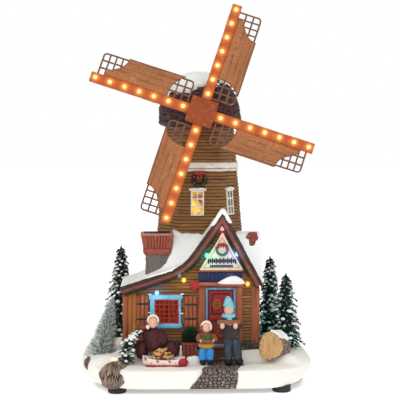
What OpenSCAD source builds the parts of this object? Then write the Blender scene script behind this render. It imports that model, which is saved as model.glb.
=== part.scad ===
// A lit windmill cottage: a snowy base with a battery drive, a gabled cottage, a six-sided mill
// tower with a round cap, and four sails that turn on a tilted windshaft.
// X runs to the right, Y to the back and Z up. The origin is on the table, under the base's middle.

/* [Base] */
// Width of the snow base
base_w = 212; // [206:1:256]
// Depth of the snow base
base_d = 156; // [150:1:190]
// Radius of the base's plan corners
base_corner = 56; // [48:1:64]
// Height of the feet under the base
foot_h = 5; // [4:0.5:8]
// Diameter of a foot
foot_d = 16.4; // [12:0.2:20]
// Snow level at the front, above the base's underside
yard_h = 19; // [17:0.5:21]
// Snow level around the house, above the base's underside
bank_h = 26; // [24:0.5:28]
// Level of the house floor, above the base's underside
plinth_h = 32; // [30:0.5:38]
// Wall thickness of the casting
wall = 3; // [2.4:0.1:4]
// Thickness of the plate that closes the underside
plate_t = 2.5; // [2:0.1:3.5]

/* [House] */
// Distance of the left wall from the middle
house_left = 66.5; // [62:0.5:72]
// Distance of the right wall from the middle
house_right = 53; // [50:0.5:58]
// Distance of the front wall from the middle
house_front = 38; // [36:0.5:44]
// Depth of the house from front wall to back wall
house_d = 62; // [56:1:70]
// Sideways position of the gable's apex
gable_x = 21; // [18:0.5:24]
// Height of the gable's apex above the floor
gable_h = 120; // [108:1:132]
// Height of the eaves above the floor
eave_h = 54; // [50:0.5:56]
// Thickness of the roof boards
roof_t = 4; // [3:0.5:5]
// Thickness of the snow on the roofs
snow_t = 3; // [2:0.5:4]
// Height of the main ridge above the floor
ridge_h = 96; // [90:1:102]
// Width of the door leaf
door_w = 22.4; // [18:0.2:24]
// Height of the door leaf
door_h = 50; // [44:0.5:52]
// Width of the window
window_w = 29; // [24:0.5:31]
// Height of the window
window_h = 29; // [24:0.5:31]

/* [Mill] */
// Sideways position of the tower's axis
mill_x = 2.5; // [0:0.5:5]
// Distance of the tower's axis behind the middle
mill_y = 12; // [8:0.5:16]
// Height of the tower above the house floor
tower_h = 196; // [190:1:236]
// Corner radius of the tower at the floor
tower_r0 = 47; // [45:0.5:50]
// Corner radius of the tower at its top
tower_r1 = 31; // [30:0.5:37]
// Radius of the cap
cap_r = 38; // [37:0.5:44]
// Height of the cap with its snow
cap_h = 52; // [46:1:62]

/* [Sails] */
// Length of a sail from the shaft to the tip
sail_r = 103; // [90:1:108]
// Lean of the windshaft, front end up
shaft_tilt = 11.5; // [8:0.5:13]
// Turn of the sails at rest, clockwise from the front
rest_turn = 18.5; // [0:0.5:45]
// Width of a stock
stock_w = 8.6; // [7:0.2:10]
// Thickness of a stock
stock_t = 5; // [4:0.2:6]
// Distance from a stock's middle to a board's outer edge
board_reach = 26; // [22:0.5:30]
// Thickness of a sail board
board_t = 2; // [1.6:0.1:3]
// Side of the square hub plate
hub_plate = 24; // [20:0.5:28]
// Number of lamps on a sail
lamp_count = 7; // [5:1:8]
// Diameter of a lamp
lamp_d = 3.2; // [2.6:0.1:4]

/* [Drive] */
// Diameter of the windshaft
shaft_d = 4; // [3:0.1:5]
// Radial running clearance of a shaft in its bush
run_gap = 0.05; // [0.03:0.01:0.08]
// Gear module
gear_m = 0.6; // [0.5:0.05:0.65]
// Teeth on the windshaft's gear
out_teeth = 40; // [36:2:42]
// Teeth on the compound gear's small wheel
small_teeth = 12; // [12:1:14]
// Teeth on the compound gear's large wheel
large_teeth = 36; // [30:2:38]
// Teeth on the motor's pinion
pinion_teeth = 12; // [12:1:14]
// Diameter of a battery cell
cell_d = 14.2; // [13.8:0.1:14.5]
// Length of a battery cell
cell_l = 50; // [48:0.5:50.5]
// Travel of the slide switch
switch_travel = 4; // [3:0.5:5]

/* [Hidden] */
$fn = 32;

bottom_z = foot_h;
yard_z = bottom_z + yard_h;
bank_z = bottom_z + bank_h;
floor_z = bottom_z + plinth_h;
plate_top = bottom_z + plate_t;
gap = 0.3;                       // clearance between loose pieces
far = 400;                       // longer than anything, for cutting
skirt_in = 7;                    // how far the underside's edge is drawn in
bank_in = 6;                     // how far the upper snow is drawn in
bank_front = house_front + 6;
plinth_m = 2;                    // plinth's margin around the house
house_back = house_d - house_front;
tower_top = floor_z + tower_h;
tower_slope = (tower_r0 - tower_r1) / tower_h;
facet_lean = atan(tower_slope * cos(30));

// ---- plan shapes of the base ----

module rounded_plan(w, d, r) {
    square([w - 2*r, d], center = true);
    square([w, d - 2*r], center = true);
    for (x = [-1, 1], y = [-1, 1])
        translate([x*(w/2 - r), y*(d/2 - r)]) circle(r, $fn = 96);
}

module base_plan(inset) {
    rounded_plan(base_w - 2*inset, base_d - 2*inset, base_corner - inset);
}

module slab(z0, z1) {
    translate([0, 0, z0]) linear_extrude(z1 - z0) children();
}

module bank_plan() {
    intersection() {
        base_plan(bank_in);
        translate([-far/2, -bank_front]) square([far, far]);
    }
}

module plinth_plan(inset) {
    translate([-house_left - plinth_m + inset, -house_front - plinth_m + inset])
        square([house_left + house_right + 2*(plinth_m - inset), house_d + 2*(plinth_m - inset)]);
    translate([mill_x, mill_y]) circle(tower_r0 + plinth_m - inset, $fn = 6);
}

// the snow and plinth as one outer solid; everything that stands on it is cut by it
module ground() {
    slab(bottom_z, bottom_z + yard_h/2) base_plan(skirt_in);
    slab(bottom_z + yard_h/2, yard_z) base_plan(0);
    slab(yard_z, bank_z) bank_plan();
    slab(yard_z, floor_z) plinth_plan(0);
}

module seated() {
    difference() {
        children();
        ground();
    }
}

// ---- underside, feet and screws ----

foot_x = base_w/2 - 34;
foot_y = base_d/2 - 20;
screw_x = base_w/2 - 22;
screw_y = 14;
screw_head_r = 2.6;
screw_r = 1.3;
boss_r = 4;
cavity_in = skirt_in + wall + 1;
loom_x = 36;
loom_y = 4;

module at_base_screws() {
    for (x = [-screw_x, screw_x], y = [-screw_y, screw_y]) translate([x, y, 0]) children();
}

module base_shell() {
    color("white") difference() {
        ground();
        difference() {
            union() {
                slab(bottom_z - 1, yard_z - wall) base_plan(cavity_in);
                slab(yard_z - wall - 1, floor_z - wall) plinth_plan(wall);
            }
            at_base_screws() translate([0, 0, plate_top]) cylinder(h = plinth_h, r = boss_r);
        }
        at_base_screws() translate([0, 0, plate_top - 1]) cylinder(h = screw_l + 1, r = screw_r);
        translate([loom_x, loom_y, floor_z - wall - 1]) cylinder(h = wall + 2, r = 3);
    }
}

plate_gap = 0.2;
screw_l = 5;                     // length of a base screw's shank above the plate

module bottom_plate() {
    color("dimgray") difference() {
        union() {
            slab(bottom_z, plate_top) base_plan(cavity_in + plate_gap);
            door_rails();
        }
        translate([-bay_w/2, bay_y - bay_d/2, bottom_z - 1]) cube([bay_w, bay_d, plate_t + 2]);
        at_base_screws() {
            translate([0, 0, bottom_z - 1]) cylinder(h = plate_t + 2, r = screw_r);
            translate([0, 0, bottom_z - 1]) cylinder(h = 1 + screw_head_h, r = screw_head_r);
        }
        translate([switch_x - switch_travel/2 - knob_w/2 - gap, switch_y - knob_d/2 - gap, bottom_z - 1])
            cube([switch_travel + knob_w + 2*gap, knob_d + 2*gap, plate_t + 2]);
    }
}

screw_head_h = 1.4;

module feet() {
    color("#181818") for (x = [-foot_x, foot_x], y = [-foot_y, foot_y])
        translate([x, y, 0]) {
            cylinder(h = 1, d1 = foot_d - 1.6, d2 = foot_d, $fn = 48);
            translate([0, 0, 1]) cylinder(h = foot_h - 1, d = foot_d, $fn = 48);
        }
}

module screw(shank_l) {
    cylinder(h = screw_head_h, r = screw_head_r - 0.1);
    translate([0, 0, screw_head_h]) cylinder(h = shank_l, r = screw_r);
}

module screws() {
    color("silver") {
        at_base_screws() translate([0, 0, bottom_z]) screw(plate_t - screw_head_h + screw_l);
        for (x = [-1, 1])
            translate([mill_x + x*ear_x, mill_y, frame_z + frame_t + screw_head_h])
                mirror([0, 0, 1]) screw(frame_t + 4);
    }
}

// ---- battery bay: three cells side by side under the house ----

cell_pitch = cell_d + 1.2;
bay_w = cell_l + 8;
bay_d = 3*cell_pitch + 1;
bay_y = -5;
bay_wall = 1.5;
bay_top = plate_top + cell_d + 1.6;
cell_z = plate_top + 0.4 + cell_d/2;
contact_t = 0.4;

module battery_box() {
    color("black") difference() {
        translate([-bay_w/2 - bay_wall, bay_y - bay_d/2 - bay_wall, plate_top])
            cube([bay_w + 2*bay_wall, bay_d + 2*bay_wall, bay_top - plate_top + bay_wall]);
        translate([-bay_w/2, bay_y - bay_d/2, plate_top - 1]) cube([bay_w, bay_d, bay_top - plate_top + 1]);
    }
}

module battery_cells() {
    for (i = [-1, 0, 1]) translate([i == 0 ? -1 : 1, bay_y + i*cell_pitch, cell_z])
        rotate([0, i == 0 ? -90 : 90, 0]) {
            color("darkgreen") translate([0, 0, -cell_l/2]) cylinder(h = cell_l - 1, d = cell_d, $fn = 48);
            color("silver") translate([0, 0, cell_l/2 - 1]) cylinder(h = 1, d = 5.5);
        }
}

// a flat tab at one end of each cell and a springy cone at the other
module battery_contacts() {
    color("gold") for (i = [-1, 0, 1], s = [-1, 1])
        translate([s*(bay_w/2 - contact_t/2), bay_y + i*cell_pitch, cell_z]) {
            cube([contact_t, cell_d - 4, cell_d - 5], center = true);
            if (s == (i == 0 ? 1 : -1)) rotate([0, -90*s, 0])
                cylinder(h = (bay_w - cell_l)/2 + contact_t/2 - 0.1, r1 = 4, r2 = 2.2);
        }
}

// the door is held by two lipped rails under the plate and pulls out to the back
door_t = 1.8;
door_drop = 0.2;
rail_lip = 1.6;
rail_h = door_drop + door_t + 0.3 + 1.2;
door_half = bay_w/2 + 3;
door_travel = bay_d + 6;

module door_rails() {
    for (s = [-1, 1]) difference() {
        translate([s*(door_half + gap + 0.8) - 1.6 - rail_lip/2, bay_y - bay_d/2 - 3, bottom_z - rail_h])
            cube([3.2 + rail_lip, bay_d + 6, rail_h + 0.5]);
        translate([-door_half - gap, bay_y - bay_d/2 - 4, bottom_z - rail_h + 1.2])
            cube([2*(door_half + gap), bay_d + 8, rail_h - 1.2]);
    }
    translate([-door_half, bay_y - bay_d/2 - 5, bottom_z - 2]) cube([2*door_half, 1.8, 2.5]);
}

module battery_door() {
    color("black") difference() {
        union() {
            translate([-door_half, bay_y - bay_d/2 - 3, bottom_z - door_drop - door_t])
                cube([2*door_half, bay_d + 6, door_t]);
            for (y = [0:3])
                translate([-12, bay_y + bay_d/2 - 6 + 2*y, bottom_z - door_drop - door_t - 0.6])
                    cube([24, 1, 1]);
        }
        translate([0, bay_y - bay_d/2 + 8, bottom_z - 5]) cylinder(h = 4, r = 1.5);
    }
}

// ---- slide switch, circuit board and wires ----

switch_x = -46;
switch_y = -4;
knob_w = 4;
knob_d = 3;
knob_drop = 2.2;
board_x = 50;
board_y = -6;
board_pcb = [26, 30, 1.2];
board_z = plate_top + 1.5;

module switch_body() {
    color("silver") difference() {
        translate([switch_x - 7, switch_y - 3.5, plate_top]) cube([14, 7, 5]);
        translate([switch_x - switch_travel/2 - knob_w/2 - gap, switch_y - knob_d/2 - gap, plate_top - 1])
            cube([switch_travel + knob_w + 2*gap, knob_d + 2*gap, 3.6]);
    }
}

module switch_slider() {
    color("black") translate([switch_x - switch_travel/2 - knob_w/2, switch_y - knob_d/2, bottom_z - knob_drop]) {
        cube([knob_w, knob_d, knob_drop + plate_t + 2.2]);
        for (i = [0:2]) translate([0.4 + 1.3*i, 0, -0.4]) cube([0.6, knob_d, 0.6]);
    }
}

module circuit_board() {
    translate([board_x - board_pcb[0]/2, board_y - board_pcb[1]/2, board_z]) {
        color("seagreen") cube(board_pcb);
        color("black") {
            translate([5, 6, board_pcb[2]]) cube([6, 8, 1.6]);
            translate([14, 5, board_pcb[2]]) cube([4, 3, 1.2]);
            translate([20, 9, board_pcb[2]]) cylinder(h = 3, d = 4);
        }
        color("dimgray") for (x = [2, board_pcb[0] - 2], y = [2, board_pcb[1] - 2])
            translate([x, y, -1.5]) cylinder(h = 1.5, d = 3);
    }
}

// a round bar from one point to another
module bar(a, b, r) {
    d = b - a;
    translate(a) rotate([0, acos(d[2]/norm(d)), atan2(d[1], d[0])]) cylinder(h = norm(d), r = r);
}

module wire_loom() {
    color("firebrick") for (i = [0:len(loom_path) - 2]) {
        bar(loom_path[i], loom_path[i + 1], 0.8);
        if (i > 0) translate(loom_path[i]) sphere(r = 1, $fn = 16);
    }
}

// ---- windshaft, gears and motor, in a frame whose +Z runs forward along the shaft ----

hub_y = mill_y - 54;
hub_z = tower_top + 11;

module on_shaft() {
    translate([mill_x, hub_y, hub_z]) rotate([90 - shaft_tilt, 0, 0]) children();
}

pressure = 25;
addendum = 0.85;
dedendum = 1.15;
backlash = 0.14;
function pitch_r(n) = n*gear_m/2;
function roll_gap(a) = tan(a)*180/PI - a;
function base_circle(n) = pitch_r(n)*cos(pressure);
// half of a tooth's angle at radius r, from the involute
function tooth_half(n, r) = 90/n + roll_gap(pressure)
    - roll_gap(acos(min(1, base_circle(n)/max(r, base_circle(n))))) - backlash/2/pitch_r(n)*180/PI;
function tooth_radii(n) = let (root = pitch_r(n) - dedendum*gear_m, tip = pitch_r(n) + addendum*gear_m)
    [root, max(root + 0.01, base_circle(n)), pitch_r(n), (pitch_r(n) + tip)/2, tip];
function gear_points(n) = let (rs = tooth_radii(n), k = len(rs)) [
    for (t = [0:n - 1], j = [0:2*k - 1])
        let (r = rs[j < k ? j : 2*k - 1 - j], a = 360*t/n + (j < k ? -1 : 1)*tooth_half(n, r))
            [r*cos(a), r*sin(a)]
];

module wheel(n, t, phase) {
    rotate([0, 0, phase]) linear_extrude(t) polygon(gear_points(n));
}

compound_dir = 240;              // direction from the windshaft to the compound gear
pinion_dir = -15;                // direction from the compound gear to the pinion
compound_at = (pitch_r(out_teeth) + pitch_r(small_teeth))*[cos(compound_dir), sin(compound_dir)];
motor_at = compound_at + (pitch_r(large_teeth) + pitch_r(pinion_teeth))*[cos(pinion_dir), sin(pinion_dir)];
front_plate = -40;
side_plate_t = 2;
out_z = front_plate - 6;
gear_t = 4;
large_z = out_z - 4;
large_t = 3.4;
back_plate = large_z - 4;
motor_back = back_plate - 16;
motor_r = 8;
pin_r = 1;
frame_z = tower_top - 34;        // height of the ledges that carry the gearbox
frame_t = 2.5;
ear_x = 18;
pillar_y = pitch_r(out_teeth) + addendum*gear_m + 1.5;
bush_r = shaft_d/2 + 1.5;

// a point given in the shaft's frame, in the part's own frame
function in_mill(p) = let (c = cos(shaft_tilt), s = sin(shaft_tilt))
    [mill_x + p[0], hub_y + p[1]*s - p[2]*c, hub_z + p[1]*c + p[2]*s];
loom_path = [
    [loom_x + 3, loom_y, board_z + board_pcb[2] + 0.8],
    [loom_x, loom_y, yard_z],
    [loom_x, loom_y, floor_z + 8],
    [mill_x + 12, mill_y + 17, frame_z - 12],
    [mill_x + 10, mill_y + 18, frame_z + 8],
    in_mill([motor_at[0], motor_at[1], motor_back - 0.8])
];

module windshaft() {
    color("silver") on_shaft() translate([0, 0, back_plate - 3]) cylinder(h = 5 - back_plate, d = shaft_d);
}

module output_gear() {
    color("ivory") on_shaft() difference() {
        translate([0, 0, out_z]) {
            wheel(out_teeth, gear_t, compound_dir);
            translate([0, 0, gear_t]) cylinder(h = 0.8, r = shaft_d/2 + 2);
        }
        translate([0, 0, out_z - 1]) cylinder(h = gear_t + 3, d = shaft_d);
    }
}

module compound_gear() {
    color("ivory") on_shaft() translate([compound_at[0], compound_at[1], 0]) difference() {
        union() {
            translate([0, 0, large_z]) wheel(large_teeth, large_t, pinion_dir);
            translate([0, 0, large_z]) wheel(small_teeth, out_z + gear_t + 0.8 - large_z,
                compound_dir + 180 - 180/small_teeth);
        }
        translate([0, 0, large_z - 1]) cylinder(h = 20, r = pin_r + run_gap);
    }
}

module motor_pinion() {
    on_shaft() translate([motor_at[0], motor_at[1], 0]) {
        color("white") translate([0, 0, large_z - 0.4])
            wheel(pinion_teeth, large_t + 0.8, pinion_dir + 180 - 180/pinion_teeth);
        color("silver") translate([0, 0, back_plate - 4]) cylinder(h = large_z - back_plate + 3.8, r = pin_r);
    }
}

module motor_can() {
    color("silver") on_shaft() translate([motor_at[0], motor_at[1], 0]) difference() {
        translate([0, 0, motor_back]) cylinder(h = back_plate - side_plate_t - motor_back, r = motor_r, $fn = 48);
        translate([0, 0, back_plate - 5]) cylinder(h = 6, r = pin_r + run_gap);
    }
}

// two side plates on a foot that is screwed to the ledges in the tower
module gearbox_frame() {
    color("gray") difference() {
        union() {
            difference() {
                on_shaft() {
                    translate([-14, -44, front_plate]) cube([28, 44 + pillar_y + 4, side_plate_t]);
                    translate([-17, -44, back_plate - side_plate_t]) cube([32, 44 + pillar_y + 4, side_plate_t]);
                    translate([-5, pillar_y, back_plate - 1]) cube([10, 4, front_plate - back_plate + 2]);
                    translate([compound_at[0], compound_at[1], back_plate - 1])
                        cylinder(h = front_plate - back_plate + 2, r = pin_r);
                }
                translate([-far/2, -far/2, frame_z + frame_t - far]) cube([far, far, far]);
            }
            translate([mill_x - 14, mill_y - 24, frame_z]) cube([28, 34, frame_t]);
            translate([mill_x - ear_x - 4, mill_y - 6, frame_z]) cube([2*ear_x + 8, 12, frame_t]);
        }
        on_shaft() {
            translate([0, 0, back_plate - 5]) cylinder(h = far/4, r = bush_r);
            translate([motor_at[0], motor_at[1], back_plate - 5]) cylinder(h = 8, r = pin_r + 0.6);
        }
        for (x = [-1, 1]) translate([mill_x + x*ear_x, mill_y, frame_z - 1]) cylinder(h = frame_t + 2, r = screw_r);
    }
}

module shaft_bushes() {
    color("darkgoldenrod") on_shaft() for (z = [front_plate, back_plate - side_plate_t])
        translate([0, 0, z]) difference() {
            union() {
                cylinder(h = side_plate_t, r = bush_r);
                translate([0, 0, z == front_plate ? side_plate_t : -0.8]) cylinder(h = 0.8, r = bush_r + 1);
            }
            translate([0, 0, -2]) cylinder(h = side_plate_t + 4, r = shaft_d/2 + run_gap);
        }
}

// ---- hub and sails ----

hub_block = 16;
hub_back = -4;
neck_l = 8;
plate_front = stock_t/2 + 2.5;
lamp_first = 17.4;
lamp_pitch = (sail_r - 4.4 - lamp_first)/(lamp_count - 1);
lattice_bar = 1.4;
lattice_t = 1.6;
lattice_w = board_reach - 1.2;
board_in = 34;                   // where a board's inner end meets the stock
board_out = sail_r - 10.6;       // where its outer end meets the stock
slant = 17;                      // how much shorter the board's outer edge is
lattice_in = 14;
lattice_out = sail_r - 4.5;

module hub() {
    color("sienna") on_shaft() rotate([0, 0, -rest_turn]) difference() {
        union() {
            translate([-hub_block/2, -hub_block/2, hub_back]) cube([hub_block, hub_block, stock_t/2 - hub_back]);
            translate([-hub_plate/2, -hub_plate/2, stock_t/2])
                cube([hub_plate, hub_plate, plate_front - stock_t/2]);
            translate([0, 0, hub_back - neck_l]) cylinder(h = neck_l, r = 6);
        }
        translate([0, 0, hub_back - neck_l - 1]) cylinder(h = neck_l - hub_back + 3, d = shaft_d);
    }
}

module on_sail(i) {
    on_shaft() rotate([0, 0, -rest_turn - 90*i]) children();
}

function bend(a, b, c, n) = [for (i = [0:n]) let (t = i/n) (1 - t)*(1 - t)*a + 2*t*(1 - t)*b + t*t*c];

// outline of a board: across the sail, then along it
board_outline = concat(
    bend([stock_w/2, board_in], [board_reach*0.72, board_in], [board_reach, board_in - 11], 6),
    bend([board_reach, board_out - slant], [board_reach*0.66, board_out - slant + 1],
         [board_reach*0.52, board_out - slant/2], 4),
    bend([board_reach*0.46, board_out - slant/3], [board_reach*0.36, board_out], [stock_w/2, board_out], 4)
);

module board_solid(extra) {
    translate([0, 0, -board_t/2 - extra]) linear_extrude(board_t + 2*extra) polygon(board_outline);
}

module sail_board(i) {
    color("chocolate") on_sail(i) board_solid(0);
}

// slatted frame from u0 to u1 along the sail: three columns and evenly spaced rungs
module lattice(u0, u1) {
    w = lattice_w - stock_w/2;
    rungs = round((u1 - u0)/6.8);
    translate([stock_w/2 - 0.5, 0, -lattice_t/2]) {
        for (k = [1:3]) translate([0.5 + k*w/3 - lattice_bar, u0, 0]) cube([lattice_bar, u1 - u0, lattice_t]);
        for (k = [0:rungs]) translate([0, u0 + k*(u1 - u0 - lattice_bar)/rungs, 0])
            cube([w + 0.5, lattice_bar, lattice_t]);
    }
}

module sail_frame(i) {
    color("saddlebrown") on_sail(i) difference() {
        union() {
            translate([-stock_w/2, hub_block/2, -stock_t/2]) cube([stock_w, sail_r - hub_block/2, stock_t]);
            difference() {
                union() {
                    lattice(lattice_in, board_in + 2);
                    lattice(board_out - slant - 2, lattice_out);
                }
                board_solid(1);
            }
        }
        for (k = [0:lamp_count - 1]) translate([0, lamp_first + k*lamp_pitch, stock_t/2 - 1.5])
            cylinder(h = 3, d = lamp_d);
    }
}

module sail_lamps() {
    color("orange") for (i = [0:3]) on_sail(i) for (k = [0:lamp_count - 1])
        translate([0, lamp_first + k*lamp_pitch, stock_t/2 - 1.5])
            rotate_extrude($fn = 24) polygon(concat([[0, 0], [lamp_d/2, 0]],
                [for (a = [0:18:90]) [lamp_d/2*cos(a), 2.4 + 0.9*sin(a)]]));
}

// ---- house: one front outline runs front to back, a main ridge crosses it ----

wall_x0 = -house_left;
wall_x1 = house_right;
roof_over = 8;                   // overhang of the roof at the front
side_over = 3;                   // overhang past a side wall
apex = [gable_x, floor_z + gable_h];
left_eave = [wall_x0 - side_over, floor_z + eave_h - 1];
right_eave = [wall_x1 + 2.5, floor_z + eave_h + 2];
knee = [gable_x - 34.5, floor_z + gable_h*0.592];
knee_in = 0.26;                  // share of each straight run that the knee's curve takes
roof_line = concat(
    [left_eave],
    bend(knee + knee_in*(left_eave - knee), knee, knee + knee_in*(apex - knee), 6),
    [apex, right_eave]
);

function unit(v) = v/norm(v);
function up_normal(a, b) = let (d = unit(b - a)) [-d[1], d[0]];
function shifted(p, d) = [
    for (i = [0:len(p) - 1])
        let (j = max(i - 1, 0), k = min(i, len(p) - 2),
             n0 = up_normal(p[j], p[j + 1]), n1 = up_normal(p[k], p[k + 1]), m = unit(n0 + n1))
            p[i] + m*d/(m*n0)
];
// the same line with both ends drawn out by e
function longer(p, e) = let (n = len(p) - 1) [
    for (i = [0:n]) i == 0 ? p[0] - e*unit(p[1] - p[0]) : i == n ? p[n] + e*unit(p[n] - p[n - 1]) : p[i]
];
function closed_down(p, z) = concat(p, [[p[len(p) - 1][0], z], [p[0][0], z]]);
function band(p, d0, d1) = concat(shifted(p, d1), [for (i = [len(p) - 1:-1:0]) shifted(p, d0)[i]]);

module along_y(y0, y1) {
    translate([0, y1, 0]) rotate([90, 0, 0]) linear_extrude(y1 - y0) children();
}

module along_x(x0, x1) {
    translate([x0, 0, 0]) rotate([90, 0, 90]) linear_extrude(x1 - x0) children();
}

module front_form(d, y0, y1, e = 0) {
    along_y(y0, y1) polygon(closed_down(shifted(longer(roof_line, e), d), floor_z));
}

ridge_y = -12;
ridge_line = [[-house_front + 4, floor_z + ridge_h*0.74], [ridge_y, floor_z + ridge_h],
              [house_back + side_over, floor_z + eave_h]];
main_x0 = gable_x - 41;
main_x1 = wall_x1 + 4;

module ridge_form(d, x0, x1, e = 0) {
    along_x(x0, x1) polygon(closed_down(shifted(longer(ridge_line, e), d), floor_z));
}

module house_form() {
    intersection() {
        union() {
            front_form(-roof_t, -house_front, house_back);
            ridge_form(-roof_t, main_x0, wall_x1);
        }
        translate([wall_x0, -house_front, floor_z]) cube([wall_x1 - wall_x0, house_d, far]);
    }
}

module tower_form(grow, z0, z1) {
    translate([mill_x, mill_y, z0])
        cylinder(h = z1 - z0, r1 = tower_corner(z0) + grow, r2 = tower_corner(z1) + grow, $fn = 6);
}
function tower_corner(z) = tower_r0 - (z - floor_z)*tower_slope;
tower_gap = 0.15;

door_x = gable_x - 1.6;
door_z = floor_z;
frame_w = 3.2;
window_x = -28.6;
window_z = floor_z + 16.4;
leaf_t = 2;

module house_walls() {
    color("peru") difference() {
        house_form();
        translate([wall_x0 + wall, -house_front + wall, floor_z - 1])
            cube([wall_x1 - wall_x0 - 2*wall, house_d - 2*wall, eave_h - 10]);
        tower_form(tower_gap, floor_z - 1, tower_top);
        translate([door_x - door_w/2 - 0.1, -house_front - 1, door_z - 1])
            cube([door_w + 0.2, wall + 2, door_h + 1.1]);
        translate([window_x - window_w/2 + frame_w, -house_front - 1, window_z + frame_w])
            cube([window_w - 2*frame_w, wall + 2, window_h - 2*frame_w]);
    }
}

post_out = 1.2;

// posts that cap the front corners of the walls
module corner_posts() {
    color("indianred") seated() {
        translate([wall_x0 - post_out, -house_front - post_out, floor_z])
            cube([5, post_out, eave_h - 14]);
        translate([wall_x0 - post_out, -house_front, floor_z]) cube([post_out, 4, eave_h - 14]);
        translate([wall_x1 + post_out - 5.6, -house_front - post_out, floor_z])
            cube([5.6, post_out, eave_h - 10]);
        translate([wall_x1, -house_front, floor_z]) cube([post_out, 4, eave_h - 10]);
    }
}

module door_leaf() {
    color("firebrick") translate([door_x - door_w/2, -house_front, door_z]) {
        cube([door_w, leaf_t, door_h]);
        for (z = [4, door_h/2 + 2]) translate([3, -0.8, z]) cube([door_w - 6, 0.8, door_h/2 - 7]);
    }
}

lintel_h = 5;
post_w = 5.6;

// painted frame, side posts, lintel panel and the small snow ledge above the door
module door_frame() {
    w = door_w + 2*frame_w;
    translate([door_x - w/2, -house_front - 2, door_z]) {
        color("steelblue") difference() {
            cube([w, 2, door_h + frame_w]);
            translate([frame_w, -1, -1]) cube([door_w, 4, door_h + 1]);
        }
        color("sienna") for (x = [-post_w, w]) translate([x, 0, 0]) cube([post_w, 2, door_h + frame_w]);
        color("sienna") translate([-post_w, -3, door_h + frame_w]) cube([w + 2*post_w, 5, 2]);
        color("darkslateblue") translate([-post_w, 1, door_h + frame_w + 2]) cube([w + 2*post_w, 1, lintel_h]);
        color("white") translate([post_w, -2.6, door_h + frame_w + 2]) cube([w, 3.6, lintel_h]);
    }
}

module door_steps() {
    color("sienna") difference() {
        translate([door_x - 16, -house_front - plinth_m - 8, yard_z]) {
            cube([34, 8, (floor_z - yard_z)*0.6]);
            translate([0, 4, 0]) cube([34, 4, floor_z - yard_z]);
        }
        ground();
    }
}

module window_casement() {
    color("skyblue") translate([window_x - window_w/2, -house_front - 2, window_z]) {
        difference() {
            cube([window_w, 2, window_h]);
            translate([frame_w, -1, frame_w]) cube([window_w - 2*frame_w, 4, window_h - 2*frame_w]);
        }
        translate([frame_w, 1, frame_w]) cube([window_w - 2*frame_w, 2.4, window_h - 2*frame_w]);
    }
}

shutter_w = 12;

module shutters() {
    color("indianred") for (s = [-1, 1])
        translate([window_x + s*(window_w/2 + gap + shutter_w/2) - shutter_w/2, -house_front - 1.6, window_z])
            cube([shutter_w, 1.6, window_h]);
}

// ---- roofs ----

// everything under the roofs' surfaces, shifted by d and drawn out past the eaves
module roof_under(d, x0) {
    front_form(d, -far/4, far/4, 20);
    ridge_form(d, x0, far/4, 20);
}

module roof() {
    color("#3a2a22") difference() {
        union() {
            front_form(0, -house_front - roof_over, house_back + side_over);
            ridge_form(0, main_x0 - side_over, main_x1);
        }
        roof_under(-roof_t, main_x0);
        tower_form(tower_gap, floor_z - 1, tower_top);
    }
}

module chimney_block(grow) {
    translate([-48 - grow, -32 - grow, floor_z]) cube([21 + 2*grow, 20 + 2*grow, ridge_h - 12]);
}

chimney_top = floor_z + ridge_h + 4;
crown_h = 17;

module chimney() {
    difference() {
        union() {
            color("dimgray") chimney_block(0);
            color("firebrick") translate([-37.5, -22, 0]) {
                translate([0, 0, chimney_top - crown_h]) linear_extrude(4) square([23, 22], center = true);
                translate([0, 0, chimney_top - crown_h + 4]) linear_extrude(crown_h - 4) square([29, 26], center = true);
            }
            color("brown") translate([44, -30, chimney_top - 16]) cube([9, 8, 13]);
        }
        roof_under(0, main_x0 - side_over);
        tower_form(tower_gap, floor_z - 1, tower_top);
        translate([-37.5, -22, chimney_top]) cube([17, 14, 8], center = true);
    }
}

module roof_snow() {
    color("white") difference() {
        union() {
            front_form(snow_t, -house_front - roof_over + 1.5, house_back + side_over - 1);
            ridge_form(snow_t, main_x0 - side_over - snow_t, main_x1 - 1);
        }
        roof_under(0, main_x0 - side_over);
        tower_form(tower_gap, floor_z - 1, tower_top);
        tower_windows();
        chimney();
    }
}

barge_t = 2.4;
barge_w = 6;

module barge_boards() {
    color("#4a2a1e") along_y(-house_front - roof_over - barge_t, -house_front - roof_over)
        polygon(band(roof_line, -barge_w, 0));
}

garland_w = 3.4;
garland_t = 3;
bulb_r = 1.6;

// rope of greenery that follows the roof line on the front wall
module garland() {
    color("darkgreen") difference() {
        along_y(-house_front - garland_t, -house_front)
            polygon(band(roof_line, -roof_t - garland_w - 0.4, -roof_t - 0.2));
        translate([-far/2, -far/2, floor_z]) cube([far, far, eave_h - 14]);
    }
}

sign_w = 38;
sign_h = 33;
sign_z = floor_z + door_h + frame_w + 2 + lintel_h + 7.5;

module gable_sign() {
    color("ivory") difference() {
        along_y(-house_front - 2.4, -house_front)
            polygon([[gable_x - 1 - sign_w/2, sign_z], [gable_x - 1 + sign_w/2, sign_z], [gable_x, sign_z + sign_h]]);
        garland();
    }
}

// places of the bulbs along the roof line: index of the run and share along it
bulb_runs = [[0, 0.62], [0, 0.99], [7, 0.12], [7, 0.5], [8, 0.06], [8, 0.52], [8, 0.93]];

module garland_bulbs() {
    line = shifted(roof_line, -roof_t - garland_w/2);
    color("gold") for (b = bulb_runs) {
        p = line[b[0]] + b[1]*(line[b[0] + 1] - line[b[0]]);
        translate([p[0], -house_front - garland_t - bulb_r, p[1]]) sphere(r = bulb_r, $fn = 24);
    }
}

// ---- tower ----

ledge_gap = 14;

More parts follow.
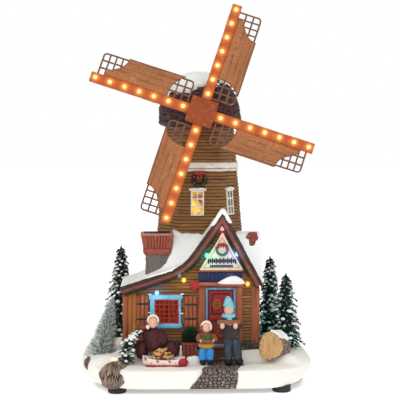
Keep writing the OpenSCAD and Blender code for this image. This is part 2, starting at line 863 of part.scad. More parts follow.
module tower_body() {
    color("peru") difference() {
        tower_form(0, floor_z, tower_top);
        difference() {
            tower_form(-wall/cos(30), floor_z - 1, tower_top + 1);
            intersection() {
                union() for (s = [-1, 1])
                    translate([mill_x + s*(ledge_gap + 20) - 20, mill_y - 10, frame_z - wall]) cube([40, 20, wall]);
                tower_form(-wall/cos(30) + 0.5, frame_z - 10, frame_z + 10);
            }
        }
        for (s = [-1, 1]) translate([mill_x + s*ear_x, mill_y, frame_z - wall - 1]) cylinder(h = wall + 2, r = screw_r);
        for (a = window_facets) on_facet(a, pane_z)
            translate([-pane_w/2 + 1.5, -0.5, 1.5]) cube([pane_w - 3, wall + 2, pane_h - 3]);
    }
}

window_facets = [0, 60];         // facets that carry a window: the front and the front right
pane_w = 12;
pane_h = 22.6;
pane_z = floor_z + 115;
lintel_out = 2.6;

// a frame on a facet, its +Y into the wall and its +Z up the slope
module on_facet(a, z) {
    translate([mill_x, mill_y, z]) rotate([0, 0, a])
        translate([0, -tower_corner(z)*cos(30), 0]) rotate([-facet_lean, 0, 0]) children();
}

// framed panes with a snow-capped lintel above and a sill below
module tower_windows() {
    for (a = window_facets) on_facet(a, pane_z) {
        color("white") translate([-pane_w/2, -1.4, 0]) cube([pane_w, 1.4, pane_h]);
        color("white") translate([-pane_w/2 - 2, -lintel_out, pane_h]) cube([pane_w + 4, lintel_out, 2.6]);
        color("white") translate([-pane_w/2 - 1, -lintel_out, -1.4]) cube([pane_w + 2, lintel_out, 1.4]);
    }
}

band_z = floor_z + 155;
band_h = 8;

module tower_band() {
    color("white") difference() {
        union() {
            translate([mill_x, mill_y, band_z + 2]) cylinder(h = band_h - 2, r = tower_corner(band_z) + 1.8, $fn = 6);
            translate([mill_x, mill_y, band_z]) cylinder(h = 2, r = tower_corner(band_z) + 0.9, $fn = 6);
        }
        tower_form(0.02, band_z - 1, band_z + band_h + 1);
    }
}

wreath_r = 5.5;
wreath_thick = 1.7;

module ring(r, thick) {
    rotate([90, 0, 0]) rotate_extrude($fn = 32) translate([r, 0]) circle(thick, $fn = 16);
}

module bow() {
    for (s = [-1, 1]) rotate([0, s*90, 0]) cylinder(h = 3.3, r1 = 0.7, r2 = 1.7, $fn = 24);
    rotate([90, 0, 0]) cylinder(h = 2.4, r = 1.2, center = true, $fn = 24);
}

// one wreath over the tower's window and one on the sign, each with its bow
module wreaths() {
    on_facet(0, pane_z + pane_h + 2.6 + wreath_r + wreath_thick + 0.1) {
        color("darkgreen") translate([-1.5, -wreath_thick - 0.1, 0]) ring(wreath_r, wreath_thick);
        color("red") translate([-1.5, -2*wreath_thick - 0.5, wreath_r]) bow();
    }
    translate([gable_x, -house_front - 2.4 - 1.3, sign_z + sign_h*0.55]) {
        color("darkgreen") ring(4.6, 1.2);
        color("red") translate([0, -1.3, 5]) bow();
    }
}

// ---- cap ----

cap_wall = 2.6;
brim_z = tower_top;
function cap_points(d) = concat(
    [[cap_r - 5 - d, brim_z], [cap_r - d, brim_z + 5]],
    [for (a = [0:9:90]) [(cap_r - d)*pow(cos(a), 0.8), brim_z + 5 + (cap_h - 9 - d)*sin(a)]]
);

module cap_form(d) {
    translate([mill_x, mill_y, 0]) rotate_extrude($fn = 64)
        polygon(concat(cap_points(d), [[0, brim_z]]));
}

module mill_cap() {
    color("#4a3a44") difference() {
        cap_form(0);
        difference() {
            cap_form(cap_wall);
            translate([mill_x, mill_y, brim_z]) difference() {
                cylinder(h = 1.2, r = cap_r);
                translate([0, 0, -1]) cylinder(h = 4, r = tower_r1 - 6);
            }
        }
        translate([mill_x, mill_y, brim_z - 1]) cylinder(h = 4, r = tower_r1 - 6);
        on_shaft() translate([0, 0, front_plate]) cylinder(h = far/8, r = 5);
    }
}

module cap_snow() {
    color("white") difference() {
        translate([mill_x, mill_y, 4]) rotate_extrude($fn = 64)
            polygon(concat([for (a = [45:9:90]) [cap_r*pow(cos(a), 0.8), brim_z + 5 + (cap_h - 9)*sin(a)]],
                [[0, brim_z + 20], [cap_r*pow(cos(45), 0.8), brim_z + 20]]));
        cap_form(0);
        translate([mill_x, mill_y, 0]) cylinder(h = brim_z + 5 + (cap_h - 9)*sin(45) - 1, r = cap_r + 5);
    }
}

// ---- trees, log, planter and sled ----

// a tiered fir: each tier is a skirt that narrows to the next
module fir(h, r, tiers) {
    rotate_extrude($fn = 32) polygon(concat([[0, 0], [1.8, 0], [1.8, h*0.06]],
        [for (i = [0:tiers - 1], s = [0, 1])
            let (t = (i + s*0.8)/tiers) [r*(1 - t)*(s == 0 ? 1 : 0.95) + 1, h*(0.06 + 0.94*t)]],
        [[0, h]]));
}

module clear_of_house() {
    difference() {
        children();
        translate([-far/2, -house_front, 0]) cube([far/2 + wall_x1 + 3, house_d + 4, far]);
    }
}

module tree_rear_left() {
    color("darkgreen") seated() translate([-base_w/2 + 34, house_back + 20, bank_z - 1]) fir(90, 15, 7);
}

module tree_tall_right() {
    color("darkgreen") seated() clear_of_house()
        translate([base_w/2 - 39.5, 10, bank_z - 1]) fir(83, 13, 7);
}

module tree_short_right() {
    color("darkgreen") seated() clear_of_house()
        translate([base_w/2 - 26, -18, yard_z - 1]) fir(77, 14.5, 6);
}

module tree_front_left() {
    color("seagreen") seated() translate([-base_w/2 + 19.5, -34, yard_z - 4]) rotate([0, 12, 0])
        fir(64, 15, 6);
}

module tree_small() {
    color("darkgreen") seated() translate([-base_w/2 + 43, -59, yard_z - 2]) rotate([0, 14, 0])
        fir(34, 7.5, 4);
}

module cut_log() {
    color("sandybrown") seated() translate([base_w/2 - 41, -50.5, yard_z + 14]) rotate([90, 0, 0])
        linear_extrude(18, center = true) polygon([for (a = [0:40:320]) 14.5*[0.92*cos(a + 12), sin(a + 12)]]);
}

planter_x = -8;
pot_h = 17;
bush_h = 15;

module planter() {
    seated() translate([planter_x, -house_front - plinth_m - 6.6, yard_z]) {
        color("brown") translate([-7, -4, -1]) cube([14, 8, pot_h + 1]);
        color("darkgreen") translate([0, 0, pot_h - 1]) cylinder(h = bush_h + 1, r1 = 6.4, r2 = 3.6);
    }
}

sled_x = -29.5;
sled_y = -61;

module sled() {
    seated() translate([sled_x, sled_y, yard_z]) {
        color("firebrick") for (y = [-5, 3.6]) translate([-15, y, 0]) {
            cube([30, 1.4, 1.4]);
            for (x = [3, 24]) translate([x, 0, 0]) cube([1.6, 1.4, 5]);
        }
        color("ivory") translate([-17, -5.4, 4.6]) cube([34, 10.8, 1.8]);
        color("goldenrod") for (x = [-8, 3]) translate([x, 0, 10.2]) sphere(r = 4.6, $fn = 24);
    }
}

// ---- people: boots, legs, coat, head and arms holding something ----

module person(h, lean) {
    leg = h*0.42;
    for (s = [-1, 1]) translate([s*h*0.075, 0, 0]) {
        cylinder(h = leg, r = h*0.062);
        translate([0, -h*0.03, 0]) cylinder(h = h*0.08, r = h*0.08);
    }
    translate([0, 0, leg*0.92]) rotate([lean, 0, 0]) {
        cylinder(h = h*0.38, r1 = h*0.14, r2 = h*0.1);
        translate([0, 0, h*0.46]) sphere(r = h*0.1);
        translate([0, 0, h*0.5]) cylinder(h = h*0.11, r1 = h*0.105, r2 = h*0.05);
        for (s = [-1, 1]) {
            bar([s*h*0.12, 0, h*0.34], [s*h*0.1, -h*0.17, h*0.21], h*0.045);
            translate([s*h*0.1, -h*0.17, h*0.21]) sphere(r = h*0.052);
        }
    }
}

// something flat held in front of the coat
module held(h, w) {
    translate([-w/2, -h*0.26, h*0.595]) cube([w, h*0.12, h*0.05]);
}

module figure_man() {
    color("slateblue") seated() translate([gable_x + 8, -57, yard_z]) {
        person(60, 0);
        held(60, 25);
    }
}

module figure_child() {
    color("peru") seated() translate([gable_x - 15.5, -57, yard_z]) {
        person(39, 0);
        held(39, 12);
    }
}

// she kneels behind the sled, one arm held out to the side
module figure_woman() {
    hips = [3, 13, 12];
    shoulders = [-12, 9, 25];
    hand = [-25, 9, 32.5];
    color("maroon") seated() translate([sled_x, sled_y, yard_z]) {
        translate([hips[0], hips[1], -1]) cylinder(h = hips[2] + 2, r1 = 8.5, r2 = 6);
        bar(hips, shoulders, 6);
        translate(hips) sphere(r = 6.8);
        translate(shoulders) sphere(r = 6.4);
        translate(shoulders) cylinder(h = 9, r = 2.4);
        translate(shoulders + [1, -1, 11.5]) sphere(r = 4.2);
        bar(shoulders, hand, 1.8);
        translate(hand) sphere(r = 2.3);
    }
}

base_shell();
bottom_plate();
feet();
screws();
battery_box();
battery_cells();
battery_contacts();
battery_door();
switch_body();
switch_slider();
circuit_board();
wire_loom();
motor_can();
gearbox_frame();
shaft_bushes();
motor_pinion();
compound_gear();
output_gear();
windshaft();
hub();
sail_frame(0);  // sail_frame_1
sail_frame(1);  // sail_frame_2
sail_frame(2);  // sail_frame_3
sail_frame(3);  // sail_frame_4
sail_board(0);  // sail_board_1
sail_board(1);  // sail_board_2
sail_board(2);  // sail_board_3
sail_board(3);  // sail_board_4
sail_lamps();
house_walls();
corner_posts();
door_leaf();
door_frame();
door_steps();
window_casement();
shutters();
roof();
roof_snow();
barge_boards();
gable_sign();
garland();
garland_bulbs();
chimney();
tower_body();
tower_band();
tower_windows();
wreaths();
mill_cap();
cap_snow();
tree_rear_left();
tree_front_left();
tree_small();
tree_tall_right();
tree_short_right();
cut_log();
figure_man();
figure_child();
figure_woman();
sled();
planter();
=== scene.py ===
import math
import bpy
import numpy as np
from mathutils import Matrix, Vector


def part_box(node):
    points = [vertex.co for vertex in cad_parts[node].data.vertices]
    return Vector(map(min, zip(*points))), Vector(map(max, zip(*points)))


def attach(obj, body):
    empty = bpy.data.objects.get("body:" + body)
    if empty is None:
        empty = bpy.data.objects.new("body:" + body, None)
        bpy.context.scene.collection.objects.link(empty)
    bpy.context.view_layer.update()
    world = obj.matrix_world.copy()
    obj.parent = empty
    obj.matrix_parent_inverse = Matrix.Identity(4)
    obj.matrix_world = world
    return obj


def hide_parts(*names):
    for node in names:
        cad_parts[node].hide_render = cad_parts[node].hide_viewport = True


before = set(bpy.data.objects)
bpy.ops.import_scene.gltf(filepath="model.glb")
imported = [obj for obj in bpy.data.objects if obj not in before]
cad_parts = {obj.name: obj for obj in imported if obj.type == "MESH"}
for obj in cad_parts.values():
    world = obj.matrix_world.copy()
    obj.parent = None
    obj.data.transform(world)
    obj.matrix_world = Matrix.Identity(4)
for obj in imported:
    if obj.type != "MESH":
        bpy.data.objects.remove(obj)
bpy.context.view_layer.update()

# ---- camera, light and floor ----
# The figurine stands on a white sweep in a bright, even studio: a wide soft key from the front
# left, a weaker one from the right, and a white surround. The lens is about 100 mm, at 1 m.

MM = 0.001
scene = bpy.context.scene
eye_turn = math.radians(-2)
eye_away, eye_height, aim_height, aim_side = 1.0, 0.215, 0.165, 0.0024
frame_side = 0.368                # width of the view at the aim's distance
camera_data = bpy.data.cameras.new("eye")
camera_data.sensor_width = 36
camera_data.lens = 36 * eye_away / frame_side
camera_data.dof.use_dof = False
camera = bpy.data.objects.new("eye", camera_data)
scene.collection.objects.link(camera)
camera.location = (aim_side + eye_away * math.sin(eye_turn), -eye_away * math.cos(eye_turn), eye_height)
aim = Vector((aim_side, 0, aim_height)) - camera.location
camera.rotation_euler = aim.to_track_quat("-Z", "Y").to_euler()
scene.camera = camera
scene.view_settings.view_transform = "Standard"


def soft_sun(name, turn, height, strength, spread, colour):
    """A very broad distant light: turn is degrees round from the front to the right, height above level."""
    data = bpy.data.lights.new(name, "SUN")
    data.energy, data.angle, data.color = strength, math.radians(spread), colour
    sun = bpy.data.objects.new(name, data)
    scene.collection.objects.link(sun)
    a, e = math.radians(turn), math.radians(height)
    away = Vector((math.sin(a) * math.cos(e), -math.cos(a) * math.cos(e), math.sin(e)))
    sun.rotation_euler = away.to_track_quat("Z", "Y").to_euler()


soft_sun("key", -32, 42, 1.04, 50, (1.0, 0.985, 0.96))
soft_sun("fill", 40, 30, 0.5, 90, (0.97, 0.985, 1.0))

surround = bpy.data.worlds.new("surround")
surround.use_nodes = True
surround.node_tree.nodes["Background"].inputs["Color"].default_value = (1, 1, 1, 1)
scene.world = surround


def node(tree, kind, inputs=(), **settings):
    """Adds a shader node, sets it up and feeds each named or numbered socket a value or a link."""
    made = tree.nodes.new("ShaderNode" + kind)
    for key, value in settings.items():
        setattr(made, key, value)
    for key, value in dict(inputs).items():
        if isinstance(value, bpy.types.NodeSocket):
            tree.links.new(value, made.inputs[key])
        else:
            made.inputs[key].default_value = value
    return made


def srgb(r, g, b):
    """A colour given from 0 to 255, as the linear colour a shader wants."""
    c = np.array([r, g, b]) / 255
    return (*np.where(c < 0.04045, c / 12.92, ((c + 0.055) / 1.055) ** 2.4), 1.0)


ambient = surround.node_tree
seen = node(ambient, "LightPath")
level = node(ambient, "MapRange", {"Value": seen.outputs["Is Camera Ray"], "To Min": 0.62, "To Max": 1.0})
ambient.links.new(level.outputs["Result"], ambient.nodes["Background"].inputs["Strength"])

floor_mesh = bpy.data.meshes.new("floor")
floor_mesh.from_pydata([(-9, -9, 0), (9, -9, 0), (9, 9, 0), (-9, 9, 0)], [], [(0, 1, 2, 3)])
floor = bpy.data.objects.new("floor", floor_mesh)
scene.collection.objects.link(floor)
floor_paint = bpy.data.materials.new("floor_paint")
floor_paint.use_nodes = True
floor_shader = floor_paint.node_tree.nodes["Principled BSDF"]
floor_shader.inputs["Base Color"].default_value = (0.94, 0.94, 0.94, 1)
floor_shader.inputs["Roughness"].default_value = 0.9
floor_shader.inputs["Emission Color"].default_value = (1, 1, 1, 1)
floor_shader.inputs["Emission Strength"].default_value = 0.45
floor_mesh.materials.append(floor_paint)

# ---- the base's underside and the battery drive ----
# Moulded plastic plates and boxes, rubber feet, zinc screws, cells, gears and a motor. They are made
# to the CAD's shapes, so the nodes stay and take moulded, cast or drawn finishes.


def effect(name, feeds, gives):
    """An empty node group with named inputs and outputs; a number's default makes the socket's kind."""
    group = bpy.data.node_groups.new(name, "ShaderNodeTree")
    kinds = {float: "NodeSocketFloat", int: "NodeSocketFloat", tuple: "NodeSocketColor"}
    for key, value in feeds.items():
        kind = "NodeSocketVector" if value is None else kinds[type(value)]
        made = group.interface.new_socket(key, in_out="INPUT", socket_type=kind)
        if value is not None:
            made.default_value = value
    for key, kind in gives.items():
        group.interface.new_socket(key, in_out="OUTPUT", socket_type="NodeSocket" + kind)
    return group, group.nodes.new("NodeGroupInput"), group.nodes.new("NodeGroupOutput")


def mottle_effect():
    """Cloudy and fine noise: moves a base colour a little lighter and darker and gives a grain height."""
    group, feed, out = effect(
        "mottle",
        {"Vector": None, "Base": (0.5, 0.5, 0.5, 1.0), "Cloud": 60.0, "Grain": 900.0, "Amount": 0.25},
        {"Color": "Color", "Rough": "Float", "Height": "Float"})
    cloud = node(group, "TexNoise",
                 {"Vector": feed.outputs["Vector"], "Scale": feed.outputs["Cloud"], "Detail": 3.0})
    grain = node(group, "TexNoise",
                 {"Vector": feed.outputs["Vector"], "Scale": feed.outputs["Grain"], "Detail": 2.0})
    both = node(group, "Math", {0: cloud.outputs["Fac"], 1: grain.outputs["Fac"]}, operation="ADD")
    swing = node(group, "Math", {0: both.outputs[0], 1: 1.0}, operation="SUBTRACT")
    share = node(group, "Math", {0: swing.outputs[0], 1: feed.outputs["Amount"], 2: 1.0},
                 operation="MULTIPLY_ADD")
    scaled = node(group, "VectorMath", {0: feed.outputs["Base"], "Scale": share.outputs[0]},
                  operation="SCALE")
    group.links.new(scaled.outputs[0], out.inputs["Color"])
    rough = node(group, "MapRange", {"Value": cloud.outputs["Fac"], "From Min": 0.3, "From Max": 0.7,
                                     "To Min": -0.08, "To Max": 0.08})
    group.links.new(rough.outputs[0], out.inputs["Rough"])
    group.links.new(grain.outputs["Fac"], out.inputs["Height"])
    return group


mottle = mottle_effect()


def blank(name):
    """A new material with its tree, its Principled shader and object coordinates."""
    made = bpy.data.materials.new(name)
    made.use_nodes = True
    tree = made.node_tree
    return made, tree, tree.nodes["Principled BSDF"], node(tree, "TexCoord").outputs["Object"]


def place(tree, group, **inputs):
    """One of the shared effects, put into a material with its own values."""
    made = tree.nodes.new("ShaderNodeGroup")
    made.node_tree = group
    for key, value in inputs.items():
        if isinstance(value, bpy.types.NodeSocket):
            tree.links.new(value, made.inputs[key])
        else:
            made.inputs[key].default_value = value
    return made


def bumped(tree, shader, height, strength, depth=0.0002):
    """Feeds a height through a Bump node to the shader's normal."""
    bump = node(tree, "Bump", {"Height": height, "Strength": strength, "Distance": depth})
    tree.links.new(bump.outputs["Normal"], shader.inputs["Normal"])


def moulded(name, colour, rough=0.5, metallic=0.0, cloud=60.0, grain=900.0, amount=0.25, bump=0.25):
    """Plain moulded, cast or drawn stock: cloudy colour, grained surface."""
    made, tree, shader, where = blank(name)
    skin = place(tree, mottle, Vector=where, Base=colour, Cloud=cloud, Grain=grain, Amount=amount)
    tree.links.new(skin.outputs["Color"], shader.inputs["Base Color"])
    shader.inputs["Metallic"].default_value = metallic
    roughness = node(tree, "Math", {0: skin.outputs["Rough"], 1: rough}, operation="ADD")
    tree.links.new(roughness.outputs[0], shader.inputs["Roughness"])
    bumped(tree, shader, skin.outputs["Height"], bump)
    return made


def finish(material, *nodes):
    """Gives CAD nodes that stay as they are this material."""
    for n in nodes:
        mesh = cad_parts[n].data
        mesh.materials.clear()
        mesh.materials.append(material)


black_plastic = moulded("black_plastic", srgb(34, 34, 36), rough=0.55, grain=1500.0)
zinc = moulded("zinc_plate", srgb(172, 174, 176), rough=0.32, metallic=1.0, cloud=140.0, amount=0.15)
finish(black_plastic, "bottom_plate", "battery_box", "battery_door", "switch_slider")
finish(zinc, "screws", "switch_body", "motor_can", "windshaft")
finish(moulded("cell_sleeve", srgb(30, 92, 62), rough=0.28, amount=0.12), "battery_cells")
finish(moulded("spring_brass", srgb(196, 158, 84), rough=0.3, metallic=1.0, amount=0.15),
       "battery_contacts", "shaft_bushes")
finish(moulded("solder_mask", srgb(24, 92, 52), rough=0.35, cloud=220.0, amount=0.4), "circuit_board")
finish(moulded("wire_sleeve", srgb(150, 30, 26), rough=0.35), "wire_loom")
finish(moulded("gear_nylon", srgb(226, 220, 204), rough=0.42, amount=0.1),
       "output_gear", "compound_gear", "motor_pinion")
finish(moulded("frame_plastic", srgb(96, 98, 102), rough=0.5), "gearbox_frame")


def span(name):
    """Lowest and highest corner of a CAD node, in millimetres."""
    low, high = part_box(name)
    return np.array(low) / MM, np.array(high) / MM


def shell(points, quads, tris, relief, tone, glow=0.0):
    """Points, faces and the three values that a point carries for its paint: relief is 0 in a groove
    and 1 on top, and sets how much painted shade lies there, tone is a piece's own shade, glow is the colour
    of lamplight that falls there."""
    n = len(points)
    spread = lambda v: np.array(np.broadcast_to(np.asarray(v, float), (n,)))
    light = np.array(np.broadcast_to(np.asarray(glow, float), (n, 3)))
    return {"p": points, "q": quads, "t": tris, "relief": spread(relief), "tone": spread(tone), "glow": light}


def six_volume(p, tris):
    """Six times the signed volume of each row of triangles: the sum of their corners' triple products."""
    a, b, c = (p[tris[..., k]] for k in range(3))
    return np.einsum("...i,...i->...", a, np.cross(b, c)).sum(-1)


def loft(rings, relief=1.0, tone=0.5, glow=None, ring=False):
    """Skins over closed rings of points. rings is (copies, rings, points, 3) or without copies. The two ends
    close with a fan round their middle, or with ring=True the last ring joins the first. Every copy is
    turned to face outwards by the sign of its volume."""
    rings = np.asarray(rings, float)
    rings = rings.reshape(-1, *rings.shape[-3:])
    k, n, m = rings.shape[:3]
    full = lambda v: np.broadcast_to(np.asarray(v, float), (k, n, m))
    rows = np.arange(n if ring else n - 1)[:, None]
    cols = np.arange(m)[None, :]
    a, b = rows * m + cols, rows * m + (cols + 1) % m
    c, d = ((rows + 1) % n) * m + (cols + 1) % m, ((rows + 1) % n) * m + cols
    quads = np.stack([a, b, c, d], -1).reshape(-1, 4)
    p = rings.reshape(k, n * m, 3)
    tris = np.zeros((0, 3), int)
    values = [full(relief).reshape(k, -1), full(tone).reshape(k, -1)]
    light = np.zeros((k, n * m, 3)) if glow is None else np.broadcast_to(glow, (k, n, m, 3)).reshape(k, -1, 3)
    if not ring:
        p = np.concatenate([p, rings[:, [0, -1]].mean(2)], 1)
        j = np.arange(m)
        tris = np.concatenate([np.stack([(j + 1) % m, j, np.full(m, n * m)], -1),
                               np.stack([(n - 1) * m + j, (n - 1) * m + (j + 1) % m, np.full(m, n * m + 1)],
                                        -1)])
        values = [np.concatenate([v, full(s)[:, [0, -1]].mean(2)], 1) for v, s in zip(values, (relief, tone))]
        light = np.concatenate([light, light[:, [0, n * m - 1]]], 1)
    per = p.shape[1]
    step = (np.arange(k) * per)[:, None, None]
    flat = p.reshape(-1, 3)
    quads, tris = quads[None] + step, tris[None] + step
    thirds = np.concatenate([quads[..., :3], quads[..., [0, 2, 3]], tris], 1)
    inward = six_volume(flat, thirds) < 0
    quads[inward], tris[inward] = quads[inward][..., ::-1], tris[inward][..., ::-1]
    return shell(flat, quads.reshape(-1, 4), tris.reshape(-1, 3), values[0].ravel(), values[1].ravel(),
                 light.reshape(-1, 3))


def joined(*shells):
    """Several shells as one."""
    start = np.cumsum([0] + [len(s["p"]) for s in shells[:-1]])
    out = {"q": np.concatenate([s["q"] + k for s, k in zip(shells, start)]),
           "t": np.concatenate([s["t"] + k for s, k in zip(shells, start)])}
    for key in ("p", "relief", "tone", "glow"):
        out[key] = np.concatenate([s[key] for s in shells])
    return out


def build(name, parts, body="cottage", instead=(), smooth=True):
    """Makes one piece from (material, shell) pairs, in millimetres, and sets what it rides on and which
    CAD nodes it stands for."""
    whole = joined(*[s for _, s in parts])
    mesh = bpy.data.meshes.new(name)
    quads, tris = whole["q"], whole["t"]
    mesh.vertices.add(len(whole["p"]))
    mesh.vertices.foreach_set("co", (whole["p"] * MM).astype(np.float32).ravel())
    corners = np.concatenate([quads.ravel(), tris.ravel()])
    starts = np.concatenate([np.arange(len(quads)) * 4, len(quads) * 4 + np.arange(len(tris)) * 3])
    mesh.loops.add(len(corners))
    mesh.loops.foreach_set("vertex_index", corners.astype(np.int32))
    mesh.polygons.add(len(starts))
    mesh.polygons.foreach_set("loop_start", starts.astype(np.int32))
    marks = np.concatenate([np.full(len(s["q"]), i) for i, (_, s) in enumerate(parts)]
                           + [np.full(len(s["t"]), i) for i, (_, s) in enumerate(parts)])
    for material, _ in parts:
        mesh.materials.append(material)
    mesh.polygons.foreach_set("material_index", marks.astype(np.int32))
    mesh.polygons.foreach_set("use_smooth", np.full(len(starts), smooth))
    mesh.update(calc_edges=True)
    for key in ("relief", "tone"):
        mesh.attributes.new(key, "FLOAT", "POINT").data.foreach_set("value", whole[key].astype(np.float32))
    light = np.concatenate([whole["glow"], np.ones((len(whole["p"]), 1))], 1)
    mesh.attributes.new("glow", "FLOAT_COLOR", "POINT").data.foreach_set("color",
            light.astype(np.float32).ravel())
    made = bpy.data.objects.new(name, mesh)
    scene.collection.objects.link(made)
    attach(made, body)
    if instead:
        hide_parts(*instead)
    return made


def turned(profile, centre, steps=48, relief=1.0, tone=0.5):
    """A lathe form: a profile of (radius, height) turned about an upright axis."""
    profile = np.asarray(profile, float)
    a = np.linspace(0, 2 * math.pi, steps, endpoint=False)
    r, z = profile[:, 0, None], profile[:, 1, None]
    rings = np.stack([centre[0] + r * np.cos(a), centre[1] + r * np.sin(a),
                      np.broadcast_to(z, (len(profile), steps))], -1)
    return loft(rings, relief, tone)


foot_low, foot_high = span("feet")
foot_r = 8.2
foot_high[2] += 1.0               # their tops end inside the skirt
foot_profile = [(foot_r - 2.6, 0.5), (foot_r - 2.2, 0), (foot_r - 0.9, 0), (foot_r - 0.2, 0.5), (foot_r, 1.4),
                (foot_r - 0.25, 3.2), (foot_r - 0.25, foot_high[2] - 1.5), (foot_r, foot_high[2] - 0.4),
                (foot_r, foot_high[2])]
foot_rubber = moulded("foot_rubber", srgb(26, 26, 27), rough=0.7, grain=2200.0, bump=0.4)
feet = joined(*[turned(foot_profile, (x, y)) for x in (foot_low[0] + foot_r, foot_high[0] - foot_r)
                for y in (foot_low[1] + foot_r, foot_high[1] - foot_r)])
build("rubber_feet", [(foot_rubber, feet)], instead=["feet"])

# ---- the snowy base, its bank and its cobbled path ----
# One resin casting: a rounded-rectangle mound with a bulging, drawn-in skirt, a low yard in front and a
# bank round the house, painted warm white; the path is pressed in and painted stone. The real one is
# hollow. This mesh is closed underneath, so it hides the cells when the battery door is open.

base_low, base_high = span("base_shell")
wall_low, wall_high = span("house_walls")
base_half = (base_high - base_low)[:2] / 2
corner_r = 56
skirt_z = base_low[2]
yard_z, bank_z, floor_z = 24.0, 31.0, wall_low[2]
bank_front = wall_low[1] - 6
TURN = 2 * math.pi


def smooth(a, b, x):
    """0 below a, 1 above b and an S-curve between: t squared times (3 - 2t)."""
    t = np.clip((x - a) / (b - a), 0, 1)
    return t * t * (3 - 2 * t)


def noise(points, size, seed=0):
    """Smooth random value from 0 to 1 at each point: hashed values at the corners of a cubic lattice of
    that size, blended across each cell by the same S-curve."""
    q = np.asarray(points, float) / size + 31.7 * (seed + 1)
    i = np.floor(q).astype(np.int64)
    f = q - i
    f = f * f * (3 - 2 * f)

    def corner(dx, dy, dz):
        h = ((i[..., 0] + dx) * 73856093) ^ ((i[..., 1] + dy) * 19349663) ^ ((i[..., 2] + dz) * 83492791)
        h = (h ^ (h >> 13)) * 1274126177 & 0x7FFFFFFF
        return ((h ^ (h >> 16)) & 0xFFFF) / 65535

    mix = lambda a, b, t: a + (b - a) * t
    x, y, z = f[..., 0], f[..., 1], f[..., 2]
    return mix(mix(mix(corner(0, 0, 0), corner(1, 0, 0), x), mix(corner(0, 1, 0), corner(1, 1, 0), x), y),
               mix(mix(corner(0, 0, 1), corner(1, 0, 1), x), mix(corner(0, 1, 1), corner(1, 1, 1), x), y), z)


def rough_noise(points, size, seed=0, octaves=3):
    """Noise added to itself at half the size and half the height, -1 to 1."""
    total = sum((noise(points, size / 2 ** k, seed + k) - 0.5) / 2 ** k for k in range(octaves))
    return total * 1.6


def cells(u, v, seed=0, jitter=0.8):
    """Cobble pattern: each unit square holds one random point. Gives the distance to the nearest point,
    how much further the next one is, which is 0 on a joint, and a random number for the nearest."""
    u, v = np.asarray(u, float), np.asarray(v, float)
    iu, iv = np.floor(u).astype(np.int64), np.floor(v).astype(np.int64)
    near, nearly, name = np.full(u.shape, 9.0), np.full(u.shape, 9.0), np.zeros(u.shape)
    for du in (-1, 0, 1):
        for dv in (-1, 0, 1):
            h = ((iu + du) * 374761393 ^ (iv + dv) * 668265263) + seed * 97
            h = (h ^ (h >> 13)) * 1274126177 & 0x7FFFFFFF
            h = h ^ (h >> 15)
            rx, ry, own = (h & 1023) / 1023, (h >> 10 & 1023) / 1023, (h >> 20 & 1023) / 1023
            d = np.hypot(iu + du + 0.5 + (rx - 0.5) * jitter - u, iv + dv + 0.5 + (ry - 0.5) * jitter - v)
            nearer = d < near
            nearly = np.where(nearer, near, np.minimum(nearly, d))
            name = np.where(nearer, own, name)
            near = np.where(nearer, d, near)
    return near, nearly - near, name


def outline(inset, steps):
    """The base's plan, drawn in by inset: each ray's meeting with a rounded rectangle, evenly by length."""
    w, d, r = base_half[0] - inset, base_half[1] - inset, corner_r - inset
    a = np.linspace(0, math.pi / 2, 40)
    quarter = np.stack([w - r + r * np.cos(a), d - r + r * np.sin(a)], -1)
    line = np.concatenate([quarter, (quarter * (-1, 1))[::-1], quarter * (-1, -1), (quarter * (1, -1))[::-1]])
    line = np.vstack([line, line[:1]])
    run = np.concatenate([[0], np.cumsum(np.hypot(*np.diff(line, axis=0).T))])
    at = np.linspace(0, run[-1], steps, endpoint=False)
    return np.stack([np.interp(at, run, line[:, k]) for k in (0, 1)], -1)


path_left = np.array([[6.5, -47.5], [13.0, -58], [6.5, -66], [3.0, -71.5], [1.5, -76.0], [-9.5, -79.0]])
path_right = np.array([[37.0, -47.5], [39.5, -58], [35.0, -66], [33.0, -71.5], [32.0, -76.0], [31.0, -79.0]])
lip = skirt_z + 16.4              # widest line of the skirt
front_reach = 11.0                # how far the rolled edge runs in over the top


def skirt_inset(z, deep=8.0):
    """How far the skirt is drawn in at this height above its hem: a quarter ellipse, deepest at the hem."""
    return 0.15 + deep * (1 - np.sqrt(1 - ((16.4 - np.clip(z, 0, 16.4)) / 17.4) ** 2)) + 2.4 * smooth(0.9,
            0.0, z)


def on_path(x, y, z):
    """1 inside the path's two edges, 0 outside; down the skirt the edges follow the height instead."""
    fall = -76 - 3 * np.clip((lip - z) / (lip - skirt_z), 0, 1)
    at = np.where(z < lip, fall, y)
    left, right = (np.interp(-at, -line[:, 1], line[:, 0]) for line in (path_left, path_right))
    return smooth(left + 0.3, left + 2, x) * smooth(right - 0.3, right - 2, x) * smooth(-47, -49, y)


def ground_height(x, y):
    """Snow level: the yard, an S-curve up to the bank behind its front, a rise against the house and
    slow lumps."""
    p = np.stack([x, y, 0 * x], -1)
    bank = smooth(bank_front - 7, bank_front + 4,
                  y + 5 * (noise(p, 26, 3) - 0.5) + 10 * smooth(50, 90, np.abs(x)))
    house = smooth(9, 1, np.maximum(np.abs(x + 6.7) - 62, np.abs(y + 7) - 33)) * 2.4
    lane = smooth(14, 6, np.abs(x - 22)) * smooth(-38, -50, y) * 1.4
    fall = 3.0 * smooth(72, 104, x + 0.25 * y)
    return yard_z + (bank_z - yard_z) * bank + house - lane - fall + 1.1 * rough_noise(p, 24,
            7) + 0.25 * rough_noise(p, 5, 9)


